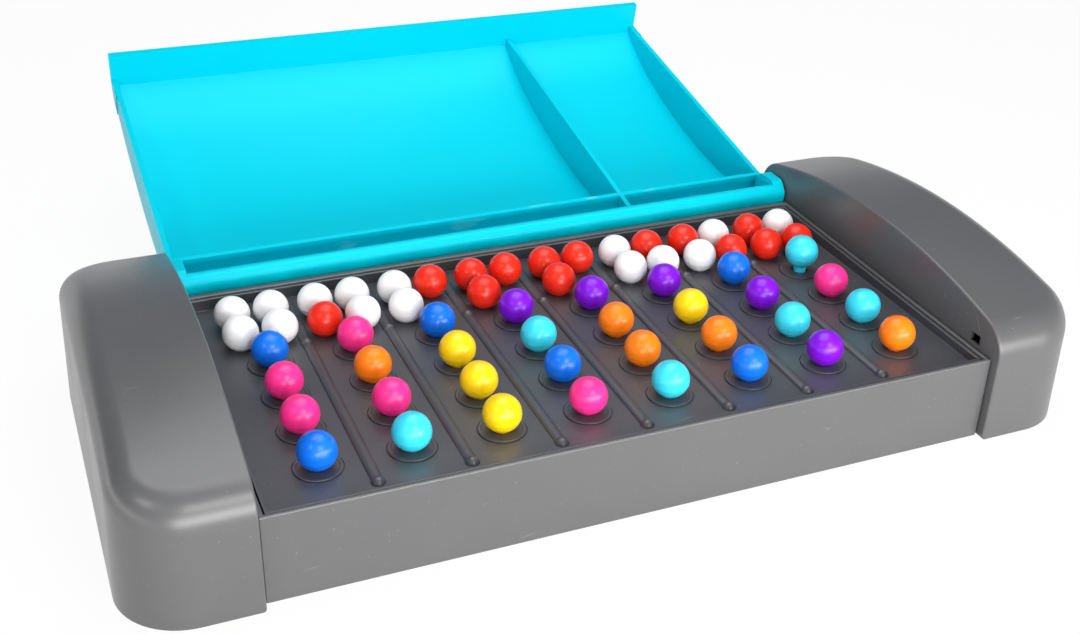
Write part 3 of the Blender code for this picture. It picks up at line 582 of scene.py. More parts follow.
def board_columns():
    return [(i - (COLUMNS - 1) / 2) * COLUMN_PITCH for i in range(COLUMNS)]


def code_row(row):
    return CODE_FRONT + (row - 1) * ROW_PITCH


def code_holes():
    return [(x, code_row(row)) for x in board_columns() for row in range(1, CODE_ROWS + 1)]


def key_hole(column_x, hole):
    row, side = hole.split("_")
    x = column_x + (KEY_PITCH_ACROSS / 2 if side == "right" else -KEY_PITCH_ACROSS / 2)
    return x, KEY_FRONT + (KEY_PITCH_ALONG if row == "far" else 0)


def all_holes():
    keys = ("near_left", "near_right", "far_left", "far_right")
    return code_holes() + [key_hole(x, hole) for x in board_columns() for hole in keys]


def open_lid_underside(y):
    """Height of the open lid's outer surface at y, which the tray's rear lip carries."""
    dy, dz = ARCH_SHIFT - HINGE_Y, ARCH_CENTRE - HINGE_HEIGHT
    centre_y = HINGE_Y + dy * cos(LID_OPEN_ANGLE) + dz * sin(LID_OPEN_ANGLE)
    centre_z = HINGE_HEIGHT - dy * sin(LID_OPEN_ANGLE) + dz * cos(LID_OPEN_ANGLE)
    return centre_z - sqrt(ARCH_RADIUS**2 - (y - centre_y) ** 2)


def add_boss(bm, x, y, top):
    add_prism_z(bm, circle((x, y), BOSS_RADIUS, ROUND_SIDES), BOSS_FOOT, top)


def add_pilot(bm, x, y):
    add_prism_z(bm, circle((x, y), SCREW_RADIUS + FIT_GAP, ROUND_SIDES), 0, PILOT_TOP)


# Materials


class Nodes:
    """The node tree of a material or the world, with the links written as plain calls."""

    def __init__(self, owner, place="Object"):
        owner.use_nodes = True
        self.material = owner
        self.tree = owner.node_tree
        self.shader = self.tree.nodes.get("Principled BSDF")
        self.place = self.add("ShaderNodeTexCoord").outputs[place]

    def add(self, kind, **settings):
        node = self.tree.nodes.new(kind)
        for key, value in settings.items():
            setattr(node, key, value)
        return node

    def wire(self, source, target):
        self.tree.links.new(source, target)

    def fix(self, name, value):
        """Sets an input of the surface shader to a constant."""
        self.shader.inputs[name].default_value = value

    def feed(self, name, source):
        self.wire(source, self.shader.inputs[name])

    def noise(self, scale, detail=3.0, roughness=0.5, stretch=None):
        node = self.add("ShaderNodeTexNoise")
        node.inputs["Scale"].default_value = scale
        node.inputs["Detail"].default_value = detail
        node.inputs["Roughness"].default_value = roughness
        place = self.place
        if stretch:
            mapping = self.add("ShaderNodeMapping")
            mapping.inputs["Scale"].default_value = stretch
            self.wire(self.place, mapping.inputs["Vector"])
            place = mapping.outputs["Vector"]
        self.wire(place, node.inputs["Vector"])
        return node.outputs["Fac"]

    def span(self, value, low, high, to_low, to_high):
        """Maps a value between two marks on to another range, held at its ends."""
        node = self.add("ShaderNodeMapRange")
        node.inputs["From Min"].default_value = low
        node.inputs["From Max"].default_value = high
        node.inputs["To Min"].default_value = to_low
        node.inputs["To Max"].default_value = to_high
        self.wire(value, node.inputs["Value"])
        return node.outputs["Result"]

    def axes(self):
        split = self.add("ShaderNodeSeparateXYZ")
        self.wire(self.place, split.inputs[0])
        return split.outputs

    def math(self, operation, *values):
        node = self.add("ShaderNodeMath", operation=operation)
        for socket, value in zip(node.inputs, values):
            if isinstance(value, float):
                socket.default_value = value
            else:
                self.wire(value, socket)
        return node.outputs[0]

    def blend(self, factor, first, second):
        """Mixes two colours, each a plain colour or a socket."""
        node = self.add("ShaderNodeMix", data_type="RGBA")
        self.wire(factor, node.inputs["Factor"])
        for socket, value in ((node.inputs[6], first), (node.inputs[7], second)):
            if isinstance(value, tuple):
                socket.default_value = (*value, 1.0)
            else:
                self.wire(value, socket)
        return node.outputs[2]

    def bump(self, height, strength, distance, under=None):
        """A bumped normal, laid over the one given as under."""
        node = self.add("ShaderNodeBump")
        node.inputs["Strength"].default_value = strength
        node.inputs["Distance"].default_value = distance
        self.wire(height, node.inputs["Height"])
        if under is not None:
            self.wire(under, node.inputs["Normal"])
        return node.outputs["Normal"]


def shade(colour, share):
    return tuple(min(1.0, channel * share) for channel in colour)


def new_material(name):
    return Nodes(bpy.data.materials.new(name))


def moulded_plastic(name, colour, roughness, grain_depth, speck, specular):
    """Moulded plastic: fine spark texture, soft blotches in its gloss, sparse light specks and scratches."""
    n = new_material(name)
    broad = n.noise(55.0, 3.0)
    fine = n.noise(2600.0, 3.0, 0.6)
    tone = n.blend(broad, shade(colour, 0.94), shade(colour, 1.06))
    specks = n.span(n.noise(1250.0, 2.0, 0.6), 0.715, 0.76, 0.0, 1.0)
    scratches = n.span(n.noise(420.0, 2.0, 0.5, stretch=(0.16, 1.0, 1.0)), 0.735, 0.77, 0.0, 0.5)
    marks = n.math("MULTIPLY", n.math("MAXIMUM", specks, scratches), speck)
    n.feed("Base Color", n.blend(marks, tone, shade(colour, 4.0)))
    n.feed("Roughness", n.span(broad, 0.3, 0.7, roughness - 0.03, roughness + 0.04))
    n.fix("Specular IOR Level", specular)
    ripple = n.bump(broad, 0.2, 0.00015)
    n.feed("Normal", n.bump(fine, 0.35, grain_depth, under=ripple))
    return n.material


def lid_plastic(name, colour):
    """The lid's cyan plastic: satin, with faint flow marks, and pale rub marks along the near wall whose
    glare is a painted highlight.
    """
    n = new_material(name)
    flow = n.noise(34.0, 2.0, 0.5, stretch=(0.6, 1.6, 1.0))
    fine = n.noise(2200.0, 3.0, 0.6)
    y = n.axes()[1]
    # Pale patches along the near wall, lightened in the base colour: rub marks with a painted highlight for
    # their glare
    starts, ends = n.span(y, 0.0500, 0.0515, 0.0, 1.0), n.span(y, 0.0545, 0.0570, 1.0, 0.0)
    rub_glare = n.span(n.noise(260.0, 4.0, 0.6, stretch=(0.28, 1.0, 1.0)), 0.60, 0.68, 0.0, 0.3)
    marks = n.math("MULTIPLY", n.math("MULTIPLY", starts, ends), rub_glare)
    tone = n.blend(flow, shade(colour, 0.97), shade(colour, 1.03))
    n.feed("Base Color", n.blend(marks, tone, RUB_GLARE_COLOUR))
    n.feed("Roughness", n.span(flow, 0.3, 0.7, 0.30, 0.36))
    n.fix("Specular IOR Level", 0.08)
    ripple = n.bump(flow, 0.15, 0.00015)
    n.feed("Normal", n.bump(fine, 0.3, 0.00002, under=ripple))
    return n.material


def peg_plastic(name, colour):
    """Semi-gloss peg plastic: nearly smooth, with faint flow marks and handling scuffs."""
    n = new_material(name)
    flow = n.noise(260.0, 2.0, 0.5, stretch=(1.0, 1.0, 0.4))
    scuff = n.span(n.noise(1500.0, 3.0, 0.7), 0.60, 0.72, 0.0, 1.0)
    n.feed("Base Color", n.blend(flow, shade(colour, 0.95), shade(colour, 1.04)))
    n.feed("Roughness", n.span(scuff, 0.0, 1.0, 0.30, 0.44))
    n.fix("Specular IOR Level", 0.40)
    n.fix("Subsurface Weight", 0.10)
    n.fix("Subsurface Radius", (0.0012, 0.0012, 0.0012))
    n.fix("Subsurface Scale", 1.0)
    n.feed("Normal", n.bump(flow, 0.3, 0.00005))
    return n.material


def screw_steel(name):
    n = new_material(name)
    turned = n.noise(2500.0, 2.0, 0.6)
    n.feed("Base Color", n.blend(turned, *STEEL_COLOURS))
    n.fix("Metallic", 1.0)
    n.feed("Roughness", n.span(turned, 0.3, 0.7, 0.22, 0.40))
    n.feed("Normal", n.bump(turned, 0.2, 0.00004))
    return n.material


# Pieces


def make_frame(material):
    """The tray's middle: front wall, side walls, back wall, rear shelf and lip, and the board's ledge."""
    lip = open_lid_underside(TRAY_REAR) - FIT_GAP
    outline = [
        (TRAY_FRONT, 0),
        (TRAY_REAR, 0),
        (TRAY_REAR, lip),
        (TRAY_REAR - FRAME_WALL, lip),
        (TRAY_REAR - FRAME_WALL, SHELF_HEIGHT),
        (WELL_REAR, SHELF_HEIGHT),
        (WELL_REAR, RIM_HEIGHT),
        (TRAY_FRONT, FRONT_RIM_HEIGHT),
    ]
    bm = bmesh.new()
    add_prism_x(bm, outline, -FRAME_HALF, FRAME_HALF)
    frame_middle = add_object("tray_frame", mesh_of("tray_frame", bm), material)
    rim_x = (RIM_WALL - FRAME_HALF, FRAME_HALF - RIM_WALL)
    rim_y = (TRAY_FRONT + RIM_WALL, WELL_INNER_REAR)
    inner_x = (-FRAME_INNER_HALF, FRAME_INNER_HALF)
    inner_y = (TRAY_FRONT + FRAME_WALL, WELL_INNER_REAR)
    hollow_y = (TRAY_FRONT + FRAME_WALL, TRAY_REAR - FRAME_WALL)
    window_x = (-FRAME_INNER_HALF + LEDGE_WIDTH, FRAME_INNER_HALF - LEDGE_WIDTH)
    window_y = (inner_y[0] + LEDGE_WIDTH, inner_y[1] - LEDGE_WIDTH)
    under_ledge = LEDGE_HEIGHT - LEDGE_THICKNESS
    under_shelf = SHELF_HEIGHT - SHELF_THICKNESS
    overhead = RIM_HEIGHT + CUT_OVERRUN
    wide = FRAME_HALF + CUT_OVERRUN
    pockets = (
        (rim_x, rim_y, (LEDGE_HEIGHT, overhead)),
        (window_x, window_y, (-CUT_OVERRUN, overhead)),
        (inner_x, hollow_y, (-CUT_OVERRUN, under_shelf)),
        (inner_x, inner_y, (under_shelf - CUT_OVERRUN, under_ledge)),
        ((-wide, wide), hollow_y, (-CUT_OVERRUN, WALL_FOOT)),
    )
    front_top = LEDGE_HEIGHT - LEDGE_THICKNESS / 2
    rear_top = SHELF_HEIGHT - SHELF_THICKNESS / 2
    steps = [(CUT, lambda bm, p=pocket: add_box(bm, *p)) for pocket in pockets]
    steps.append((ADD, lambda bm: add_boss(bm, 0, FRAME_SCREW_FRONT, front_top)))
    steps.append((ADD, lambda bm: add_boss(bm, 0, FRAME_SCREW_REAR, rear_top)))
    steps.append((CUT, lambda bm: add_pilot(bm, 0, FRAME_SCREW_FRONT)))
    steps.append((CUT, lambda bm: add_pilot(bm, 0, FRAME_SCREW_REAR)))
    combine(frame_middle, *steps)
    soften(frame_middle, RIM_SOFTNESS, 4, pick=lambda middle: middle.z > BOARD_HEIGHT)
    soften(frame_middle, FRAME_SOFTNESS, pick=lambda middle: middle.z < SHELF_HEIGHT)
    settle(finish_shading(frame_middle), "base", "shell_plastic", "base_frame")


def disc_profile():
    """The low disc round a code hole: an upright side, a broken edge and a rim a hair above its middle."""
    top = BOARD_HEIGHT + DISC_HEIGHT
    middle = top - DISC_RIM_PROUD
    inner = DISC_RADIUS - DISC_RIM_WIDTH
    side = [(DISC_RADIUS, BOARD_ROOT), (DISC_RADIUS, middle), (DISC_RADIUS - DISC_RIM_PROUD, top)]
    return side + [(inner, top), (inner - 2 * DISC_RIM_PROUD, middle)]


def pit_profile():
    """The shallow pit round a disc, of which a fine groove stays."""
    outer = DISC_RADIUS + GROOVE_WIDTH
    floor = (outer - GROOVE_SLANT, BOARD_HEIGHT - GROOVE_DEPTH)
    return [floor, (outer, BOARD_HEIGHT), (outer, BOARD_HEIGHT + CUT_OVERRUN)]


def dome_profile():
    """The small dome at each end of a code rib, rooted in the board."""
    rise = BOARD_HEIGHT + RIB_DOME_HEIGHT - BOARD_ROOT
    turns = [pi / 2 * i / DOME_STEPS for i in range(DOME_STEPS)]
    side = [(RIB_DOME_RADIUS * cos(a), BOARD_ROOT + rise * sin(a)) for a in turns]
    return [(0, BOARD_ROOT)] + side + [(0, BOARD_ROOT + rise)]


def add_rib(bm, x, half_width, height, y_ends):
    """A rounded rib along y, rooted in the board."""
    turns = [pi * i / RIB_STEPS for i in range(RIB_STEPS + 1)]
    top = [(x + half_width * cos(a), BOARD_HEIGHT + height * sin(a)) for a in turns]
    section = [(x - half_width, BOARD_ROOT), (x + half_width, BOARD_ROOT)] + top
    add_tube(bm, [[(px, y, pz) for px, pz in section] for y in y_ends])


def make_board(material):
    """The dark tray on the frame's ledge: ribs between columns, a low disc round each code hole."""
    half = FRAME_HALF - RIM_WALL - FIT_GAP
    front, rear = TRAY_FRONT + RIM_WALL + FIT_GAP, WELL_INNER_REAR - FIT_GAP
    front_top, rear_top = rim_height(front) - RIM_STEP, rim_height(rear) - RIM_STEP
    outline = [(front, BOARD_UNDERSIDE), (rear, BOARD_UNDERSIDE), (rear, rear_top), (front, front_top)]
    bm = bmesh.new()
    add_prism_x(bm, outline, -half, half)
    board = add_object("peg_tray", mesh_of("peg_tray", bm), material)
    inside_x = (BOARD_WALL - half, half - BOARD_WALL)
    inside_y = (front + BOARD_WALL, rear - BOARD_WALL)
    inside_z = (BOARD_HEIGHT, RIM_HEIGHT + CUT_OVERRUN)
    gaps = [(a + b) / 2 for a, b in zip(board_columns(), board_columns()[1:])]
    rib_ends = (TRAY_FRONT + RIB_SETBACK, (code_row(CODE_ROWS) + KEY_FRONT) / 2 + RIB_DOME_RADIUS)
    key_rib_ends = (rib_ends[1] - RIB_DOME_RADIUS / 2, rear - BOARD_WALL / 2)

    def code_ribs(bm):
        for x in gaps:
            add_rib(bm, x, RIB_HALF_WIDTH, RIB_HEIGHT, rib_ends)

    def key_ribs(bm):
        for x in gaps:
            add_rib(bm, x, KEY_RIB_HALF_WIDTH, KEY_RIB_HEIGHT, key_rib_ends)

    def rib_domes(bm):
        for x in gaps:
            for y in rib_ends:
                add_turned(bm, dome_profile(), HOLE_SIDES, (x, y))

    def pits(bm):
        for place in code_holes():
            add_stack(bm, pit_profile(), ROUND_SIDES, place)

    def discs(bm):
        for place in code_holes():
            add_stack(bm, disc_profile(), ROUND_SIDES, place)

    def holes(bm):
        for place in all_holes():
            hole = circle(place, HOLE_RADIUS, HOLE_SIDES)
            add_prism_z(bm, hole, BOARD_UNDERSIDE - CUT_OVERRUN, BOARD_HEIGHT + CUT_OVERRUN)

    combine(board, (CUT, lambda bm: add_box(bm, inside_x, inside_y, inside_z)))
    soften(board, BOARD_SOFTNESS, pick=lambda middle: middle.z > BOARD_UNDERSIDE + ABOVE_FOOT)
    # Tidied in between, because each Boolean needs a clean mesh to work on
    rounds = (
        ((ADD, code_ribs), (ADD, key_ribs), (ADD, rib_domes)),
        ((CUT, pits), (ADD, discs)),
        ((CUT, holes),),
    )
    for steps in rounds:
        combine(board, *steps)
        tidy_object(board)
    settle(finish_shading(board, BOARD_CREASE, level_faces=True), "base", "board_plastic", "peg_board")


def make_cap(name, node, side, material):
    """A hollow end cap, open below, with the lid's pin hole and latch window in its flat inner wall."""
    bm = bmesh.new()
    add_cap_solid(bm, side, 0, 0)
    cap = add_object(name, mesh_of(name, bm), material)
    soften(cap, CAP_SOFTNESS, 4, CAP_SOFT_ANGLE, lambda middle: abs(abs(middle.x) - CAP_INNER) < ON_PLANE)
    across = (side * (CAP_INNER - CUT_OVERRUN), side * (CAP_INNER + CAP_WALL + CUT_OVERRUN))
    reach = (FRAME_WALL - TRAY_REAR, TRAY_REAR - FRAME_WALL)
    steps = [(CUT, lambda bm: add_cap_solid(bm, side, CAP_WALL, -CUT_OVERRUN))]
    steps.append((CUT, lambda bm: add_box(bm, across, reach, (-CUT_OVERRUN, WALL_FOOT))))
    for y in (-CAP_SCREW_Y, CAP_SCREW_Y):
        top = arch_height(y) - CAP_WALL / 2
        steps.append((ADD, lambda bm, y=y, top=top: add_boss(bm, side * CAP_SCREW_X, y, top)))
    for y in (-CAP_SCREW_Y, CAP_SCREW_Y):
        steps.append((CUT, lambda bm, y=y: add_pilot(bm, side * CAP_SCREW_X, y)))
    pin = circle((HINGE_Y, HINGE_HEIGHT), PIN_RADIUS + FIT_GAP, ROUND_SIDES)
    steps.append((CUT, lambda bm: add_prism_x(bm, pin, *across)))
    latch_y, latch_z = CAP_FRONT + LATCH_SETBACK, LID_EDGE + LATCH_RAISE
    window_y = (latch_y, latch_y + LATCH_WIDTH)
    window_z = (latch_z - LATCH_HEIGHT / 2, latch_z + LATCH_HEIGHT / 2)
    steps.append((CUT, lambda bm: add_box(bm, across, window_y, window_z)))
    behind = (side * (CAP_INNER + LATCH_SKIN), across[1])
    behind_y = (window_y[0] - LATCH_RELIEF, window_y[1] + LATCH_RELIEF)
    behind_z = (window_z[0] - LATCH_RELIEF, window_z[1] + LATCH_RELIEF)
    steps.append((CUT, lambda bm: add_box(bm, behind, behind_y, behind_z)))
    steps.append((ADD, lambda bm: add_latch_ramp(bm, side, window_y, window_z[1])))
    combine(cap, *steps)
    tidy_object(cap)
    settle(finish_shading(cap), "base", "shell_plastic", node)


def add_latch_ramp(bm, side, y_range, foot):
    """A thin ribbed wedge over the latch window: flush at its tip and proud at the window."""
    levels = 2 * RAMP_RIBS
    near, far = y_range
    tip = near + (far - near) * RAMP_TIP_PLACE
    root = side * (CAP_INNER + LATCH_SKIN / 2)
    rings = []
    for i in range(levels + 1):
        share = i / levels
        proud = RAMP_PROUD * (1 - share) + (RAMP_RIB_DEPTH if i % 2 == 0 else 0)
        face, z = side * (CAP_INNER - proud), foot + RAMP_LENGTH * share
        low = near + (tip - near) * share
        high = far + (tip + RAMP_TIP_WIDTH - far) * share
        rings.append([(root, low, z), (root, high, z), (face, high, z), (face, low, z)])
    add_tube(bm, rings)


def lid_outline():
    """The lid's outer (y, z) outline: flange, crown, rounded back, the lip over the bead, the walls' edge."""
    inside = TRAY_REAR - LID_THICKNESS
    lip = [(TRAY_REAR, BEAD_Z), (inside, BEAD_Z), (inside, LID_EDGE)]
    flange = [(FLANGE_INNER, LID_EDGE), (FLANGE_INNER, FLANGE_EDGE), (CAP_FRONT, FLANGE_EDGE)]
    return flange + crown(CAP_FRONT, CAP_NOSE_RADIUS, TRAY_REAR, LID_REAR_RADIUS) + lip


def shoulder_points():
    """The roof's end at the flange: a crisp corner, then a curve that eases into the arch."""
    radius = ARCH_RADIUS - LID_THICKNESS
    reach = radius - CORNER_FILL
    spread = (reach**2 + radius**2 - 2 * radius * SHOULDER_RADIUS) / (2 * reach * (radius - SHOULDER_RADIUS))
    start = acos((FLANGE_INNER - ARCH_SHIFT) / reach)
    end = start - acos(spread)
    run = radius - SHOULDER_RADIUS
    y, z = ARCH_SHIFT + run * cos(end), ARCH_CENTRE + run * sin(end)
    corner_z = arch_height(FLANGE_INNER, LID_THICKNESS + CORNER_FILL)
    return arc((y, z), SHOULDER_RADIUS, atan2(corner_z - z, FLANGE_INNER - y), end, SHOULDER_STEPS)


def compartment_outline():
    """Inside of a lid compartment, from the flange to the back rail."""
    shoulder = shoulder_points()
    roof = arch_points(shoulder[-1][0], BACK_RAIL_FRONT, LID_THICKNESS)
    below = min(shoulder[0][1], LID_EDGE) - CUT_OVERRUN
    return shoulder + roof[1:] + [(BACK_RAIL_FRONT, below), (FLANGE_INNER, below)]


def channel_outline():
    """Inside of the channel between the back rail and the rounded back."""
    rear = TRAY_REAR - LID_THICKNESS
    nose = nose_points(rear, LID_REAR_RADIUS - LID_THICKNESS, LID_THICKNESS)
    roof = arch_points(BACK_RAIL_REAR, nose[-1][0], LID_THICKNESS)
    below = min(nose[0][1], LID_EDGE, BEAD_Z) - CUT_OVERRUN
    return roof + nose[::-1][1:] + [(rear, below), (BACK_RAIL_REAR, below)]


def knuckle_outline():
    """A round knuckle with one flat, which lies level on top while the lid is open."""
    up = (-sin(LID_OPEN_ANGLE), cos(LID_OPEN_ANGLE))
    outline = []
    for y, z in circle((0, 0), KNUCKLE_RADIUS, ROUND_SIDES):
        over = max(0, y * up[0] + z * up[1] - KNUCKLE_FLAT)
        outline.append((HINGE_Y + y - over * up[0], HINGE_HEIGHT + z - over * up[1]))
    return outline


def flange_end_outline():
    """The lid's outline near its front edge, where the flange's ends stand a little proud."""
    flange = [(FLANGE_INNER, LID_EDGE), (FLANGE_INNER, FLANGE_EDGE), (CAP_FRONT, FLANGE_EDGE)]
    tail = FLANGE_INNER + FLANGE_END_REACH
    return flange + nose_points(CAP_FRONT, CAP_NOSE_RADIUS) + [(tail, arch_height(tail)), (tail, LID_EDGE)]


def make_lid(material):
    """The lid shell with its compartments, hinge bead, knuckles and pins, drawn shut and then swung open."""
    bm = bmesh.new()
    add_prism_x(bm, lid_outline(), -LID_HALF, LID_HALF)
    lid = add_object("lid_shell", mesh_of("lid_shell", bm), material)
    inner = LID_HALF - LID_WALL
    spans = (
        (-inner, DIVIDER_PLACE - DIVIDER_THICKNESS / 2),
        (DIVIDER_PLACE + DIVIDER_THICKNESS / 2, inner),
    )
    steps = []
    for ends in spans:
        steps.append((CUT, lambda bm, e=ends: add_prism_x(bm, compartment_outline(), *e)))
        steps.append((CUT, lambda bm, e=ends: add_prism_x(bm, channel_outline(), *e)))
    bead = circle((BEAD_Y, BEAD_Z), BEAD_RADIUS, BEAD_SIDES)
    steps.append((ADD, lambda bm: add_prism_x(bm, bead, -LID_HALF, LID_HALF)))
    face = LID_HALF + KNUCKLE_PROUD
    tip = CAP_INNER + CAP_WALL + PIN_OVERHANG
    nub_y = CAP_FRONT + LATCH_SETBACK + FIT_GAP
    nub = (nub_y, nub_y + LATCH_WIDTH - 2 * FIT_GAP)
    nub_rise = (LID_EDGE + FIT_GAP, LID_EDGE + LATCH_RAISE + LATCH_HEIGHT / 2 - FIT_GAP)
    knuckle = knuckle_outline()
    pin = circle((HINGE_Y, HINGE_HEIGHT), PIN_RADIUS, ROUND_SIDES)
    for s in (-1, 1):
        block = (s * (face - KNUCKLE_WIDTH), s * face)
        steps.append((ADD, lambda bm, b=block: add_prism_x(bm, knuckle, *b)))
        steps.append((ADD, lambda bm, s=s: add_prism_x(bm, pin, s * (face - BITE), s * tip)))
        end = (s * (LID_HALF - LID_WALL / 2), s * (LID_HALF + FLANGE_END_PROUD))
        steps.append((ADD, lambda bm, e=end: add_prism_x(bm, flange_end_outline(), *e)))
        across = (s * (LID_HALF - BITE), s * (CAP_INNER - FIT_GAP))
        steps.append((ADD, lambda bm, a=across: add_box(bm, a, nub, nub_rise)))
    combine(lid, *steps)
    soften(lid, LID_SOFTNESS, angle=LID_SOFT_ANGLE)
    hinge = Vector((0, HINGE_Y, HINGE_HEIGHT))
    swing = Matrix.Translation(hinge) @ Matrix.Rotation(-LID_OPEN_ANGLE, 4, "X") @ Matrix.Translation(-hinge)
    lid.data.transform(swing)
    settle(finish_shading(lid), "lid", "lid_plastic", "lid")


def cover_outline():
    """Plan of the bottom cover: narrow between the tray's walls, wide and rounded inside the caps."""
    waist = TRAY_REAR - FRAME_WALL - FIT_GAP
    wide = CAP_REAR - CAP_WALL - FIT_GAP
    step = CAP_INNER + CAP_WALL + FIT_GAP
    outer = CAP_OUTER - CAP_WALL - COVER_SIDE_GAP
    corner = CAP_CORNER_RADIUS - CAP_WALL - COVER_SIDE_GAP
    centre = (outer - corner, wide - corner)
    quarter = arc(centre, corner, 0, pi / 2, CORNER_STEPS) + [(step, wide), (step, waist)]
    half = quarter + [(-x, y) for x, y in quarter[::-1]]
    return half + [(-x, -y) for x, y in half]


def screw_places():
    corners = [(x, y) for x in (-CAP_SCREW_X, CAP_SCREW_X) for y in (-CAP_SCREW_Y, CAP_SCREW_Y)]
    return corners + [(0, FRAME_SCREW_FRONT), (0, FRAME_SCREW_REAR)]


def make_cover(material):
    """The flat bottom cover with a raised, counterbored seat for each screw."""
    bm = bmesh.new()
    add_prism_z(bm, cover_outline(), 0, COVER_THICKNESS)
    cover = add_object("cover", mesh_of("cover", bm), material)
    steps = []
    for place in screw_places():
        seat = circle(place, SEAT_RADIUS, ROUND_SIDES)
        bore = circle(place, COUNTERBORE_RADIUS, ROUND_SIDES)
        shank = circle(place, SCREW_RADIUS + FIT_GAP, ROUND_SIDES)
        steps.append((ADD, lambda bm, c=seat: add_prism_z(bm, c, COVER_THICKNESS / 2, SEAT_TOP)))
        steps.append((CUT, lambda bm, c=bore: add_prism_z(bm, c, -CUT_OVERRUN, SCREW_SEAT)))
        steps.append((CUT, lambda bm, c=shank: add_prism_z(bm, c, 0, SEAT_TOP + CUT_OVERRUN)))
    combine(cover, *steps)
    soften(cover, COVER_SOFTNESS)
    settle(finish_shading(cover, level_faces=True), "base", "cover_plastic", "bottom_cover")


def screw_profile():
    """A pan head with a rounded face, then a threaded shank that ends in a point."""
    foot = SCREW_HEAD_SINK
    top = foot + SCREW_HEAD_HEIGHT
    turns = [pi / 2 * i / HEAD_STEPS for i in range(1, HEAD_STEPS + 1)]
    edge = [(SCREW_HEAD_RADIUS * sin(a), foot + SCREW_HEAD_ROUND * (1 - cos(a))) for a in turns]
    profile = [(0, foot)] + edge + [(SCREW_HEAD_RADIUS, top), (SCREW_RADIUS, top)]
    core, tip = SCREW_RADIUS - THREAD_DEPTH, SCREW_SEAT + SCREW_LENGTH
    z = top + THREAD_PITCH
    while z < tip - SCREW_RADIUS - THREAD_PITCH:
        profile += [(core, z), (SCREW_RADIUS, z + THREAD_PITCH / 2)]
        z += THREAD_PITCH
    return profile + [(core, tip - SCREW_RADIUS), (0, tip)]


def make_screws(material):
    """Six like pan-head screws with a cross recess."""
    bm = bmesh.new()
    add_turned(bm, screw_profile(), SCREW_SIDES)
    first = add_object("screw_1", mesh_of("screw_1", bm), material)
    for a, b in ((RECESS_HALF_WIDTH, RECESS_REACH), (RECESS_REACH, RECESS_HALF_WIDTH)):
        recess = ((-a, a), (-b, b), (0, SCREW_HEAD_SINK + RECESS_DEPTH))
        combine(first, (CUT, lambda bm, r=recess: add_box(bm, *r)))
    finish_shading(first)
    for number, (x, y) in enumerate(screw_places(), 1):
        screw = first
        if number > 1:
            screw = add_object(f"screw_{number}", first.data)
            add_even_shading(screw)
        screw.location = (x, y, 0)
        settle(screw, "base", "screw_steel", f"cover_screw_{number}")


def peg_profile():
    """A ball with a faint seam, on a stem with a chamfered tip; the ball's centre is at zero height."""
    join = asin(STEM_RADIUS / BALL_RADIUS)
    tip = -BALL_RADIUS - STEM_REACH
    even = [join - pi / 2 + (pi - join) * i / BALL_RINGS for i in range(BALL_RINGS)]
    seam = [SEAM_ANGLE + a for a in (-SEAM_FOOT, -SEAM_CREST, SEAM_CREST, SEAM_FOOT)]
    ball = []
    for a in sorted([a for a in even if abs(a - SEAM_ANGLE) > SEAM_CLEAR] + seam):
        on_crest = abs(a - SEAM_ANGLE) < (SEAM_CREST + SEAM_FOOT) / 2
        radius = BALL_RADIUS + (SEAM_PROUD if on_crest else 0)
        ball.append((radius * cos(a), radius * sin(a)))
    stem = [(0, tip), (STEM_RADIUS - STEM_CHAMFER, tip), (STEM_RADIUS, tip + STEM_CHAMFER)]
    return stem + ball + [(0, BALL_RADIUS)]


def peg_mesh(name, material):
    bm = bmesh.new()
    add_turned(bm, peg_profile(), BALL_SIDES)
    mesh = mesh_of(name, bm, PEG_CREASE)
    mesh.materials.append(material)
    return mesh


def make_pegs(materials):
    """Every peg is its own piece. The key pegs of one CAD group ride together."""
    meshes = {colour: peg_mesh("peg_" + colour, materials[colour]) for colour in sorted(materials)}
    for column, (x, colours) in enumerate(zip(board_columns(), CODE_COLOURS), 1):
        for row, colour in enumerate(reversed(colours), 1):
            lift = PROUD_PEG_LIFT if (column, row) == PROUD_PEG else 0
            node = f"code_peg_{column}_{row}"
            peg = add_object(f"code_ball_{column}_{row}", meshes[colour])
            peg.location = (x, code_row(row), BALL_SEAT + DISC_HEIGHT + lift - BALL_SINK)
            settle(peg, node, colour + "_plastic", node)
    for column, (column_x, groups) in enumerate(zip(board_columns(), KEY_GROUPS), 1):
        for group, (colour, holes) in enumerate(groups, 1):
            node = f"key_peg_{column}_{group}"
            for hole in holes:
                peg = add_object(f"key_ball_{column}_{hole}", meshes[colour])
                peg.location = (*key_hole(column_x, hole), BALL_SEAT - BALL_SINK)
                settle(peg, node, colour + "_plastic", *([node] if hole == holes[0] else []))


# Stage: floor, lights and camera

FLOOR_SIZE = 6.0
FLOOR_GLOW = 0.94
HORIZON = (1.30, 1.30, 1.30)
FRONT_BAND = (0.8, 0.8, 0.78)
LEFT_BAND = (4.0, 4.0, 4.0)
LEFT_WALL = (0.10, 0.11, 0.13)
BACKDROP = (0.15, 0.17, 0.21)
FRONT_WALL = (0.34, 0.33, 0.32)
CEILING = (0.20, 0.22, 0.25)

# Lamps: name, place, aim, width and height, power
LAMPS = (
    ("front_light", (0.09, -0.64, 0.58), (0, 0, 0.02), (0.27, 0.18), 2.2),
    ("low_light", (0.04, -0.31, 0.08), (0, -0.02, 0.012), (0.46, 0.09), 1.40),
    ("top_light", (0.03, 0.09, 0.36), (0.02, 0.10, 0.02), (0.34, 0.28), 0.92),
    ("left_light", (-0.50, -0.28, 0.54), (-0.05, 0, 0.02), (0.14, 0.14), 0.6),
)

# The photograph's camera, fitted to it: angles in radians, focal length in pixels of a picture 1080 wide
CAMERA_YAW, CAMERA_PITCH, CAMERA_ROLL = 0.404, -0.511, 0.029
CAMERA_FOCAL = 1378.656
CAMERA_PLACE = (-0.112119336, -0.247758772, 0.172248516)
CAMERA_CLIP = 0.01
PHOTO_WIDTH = 1080
SENSOR_WIDTH = 36.0


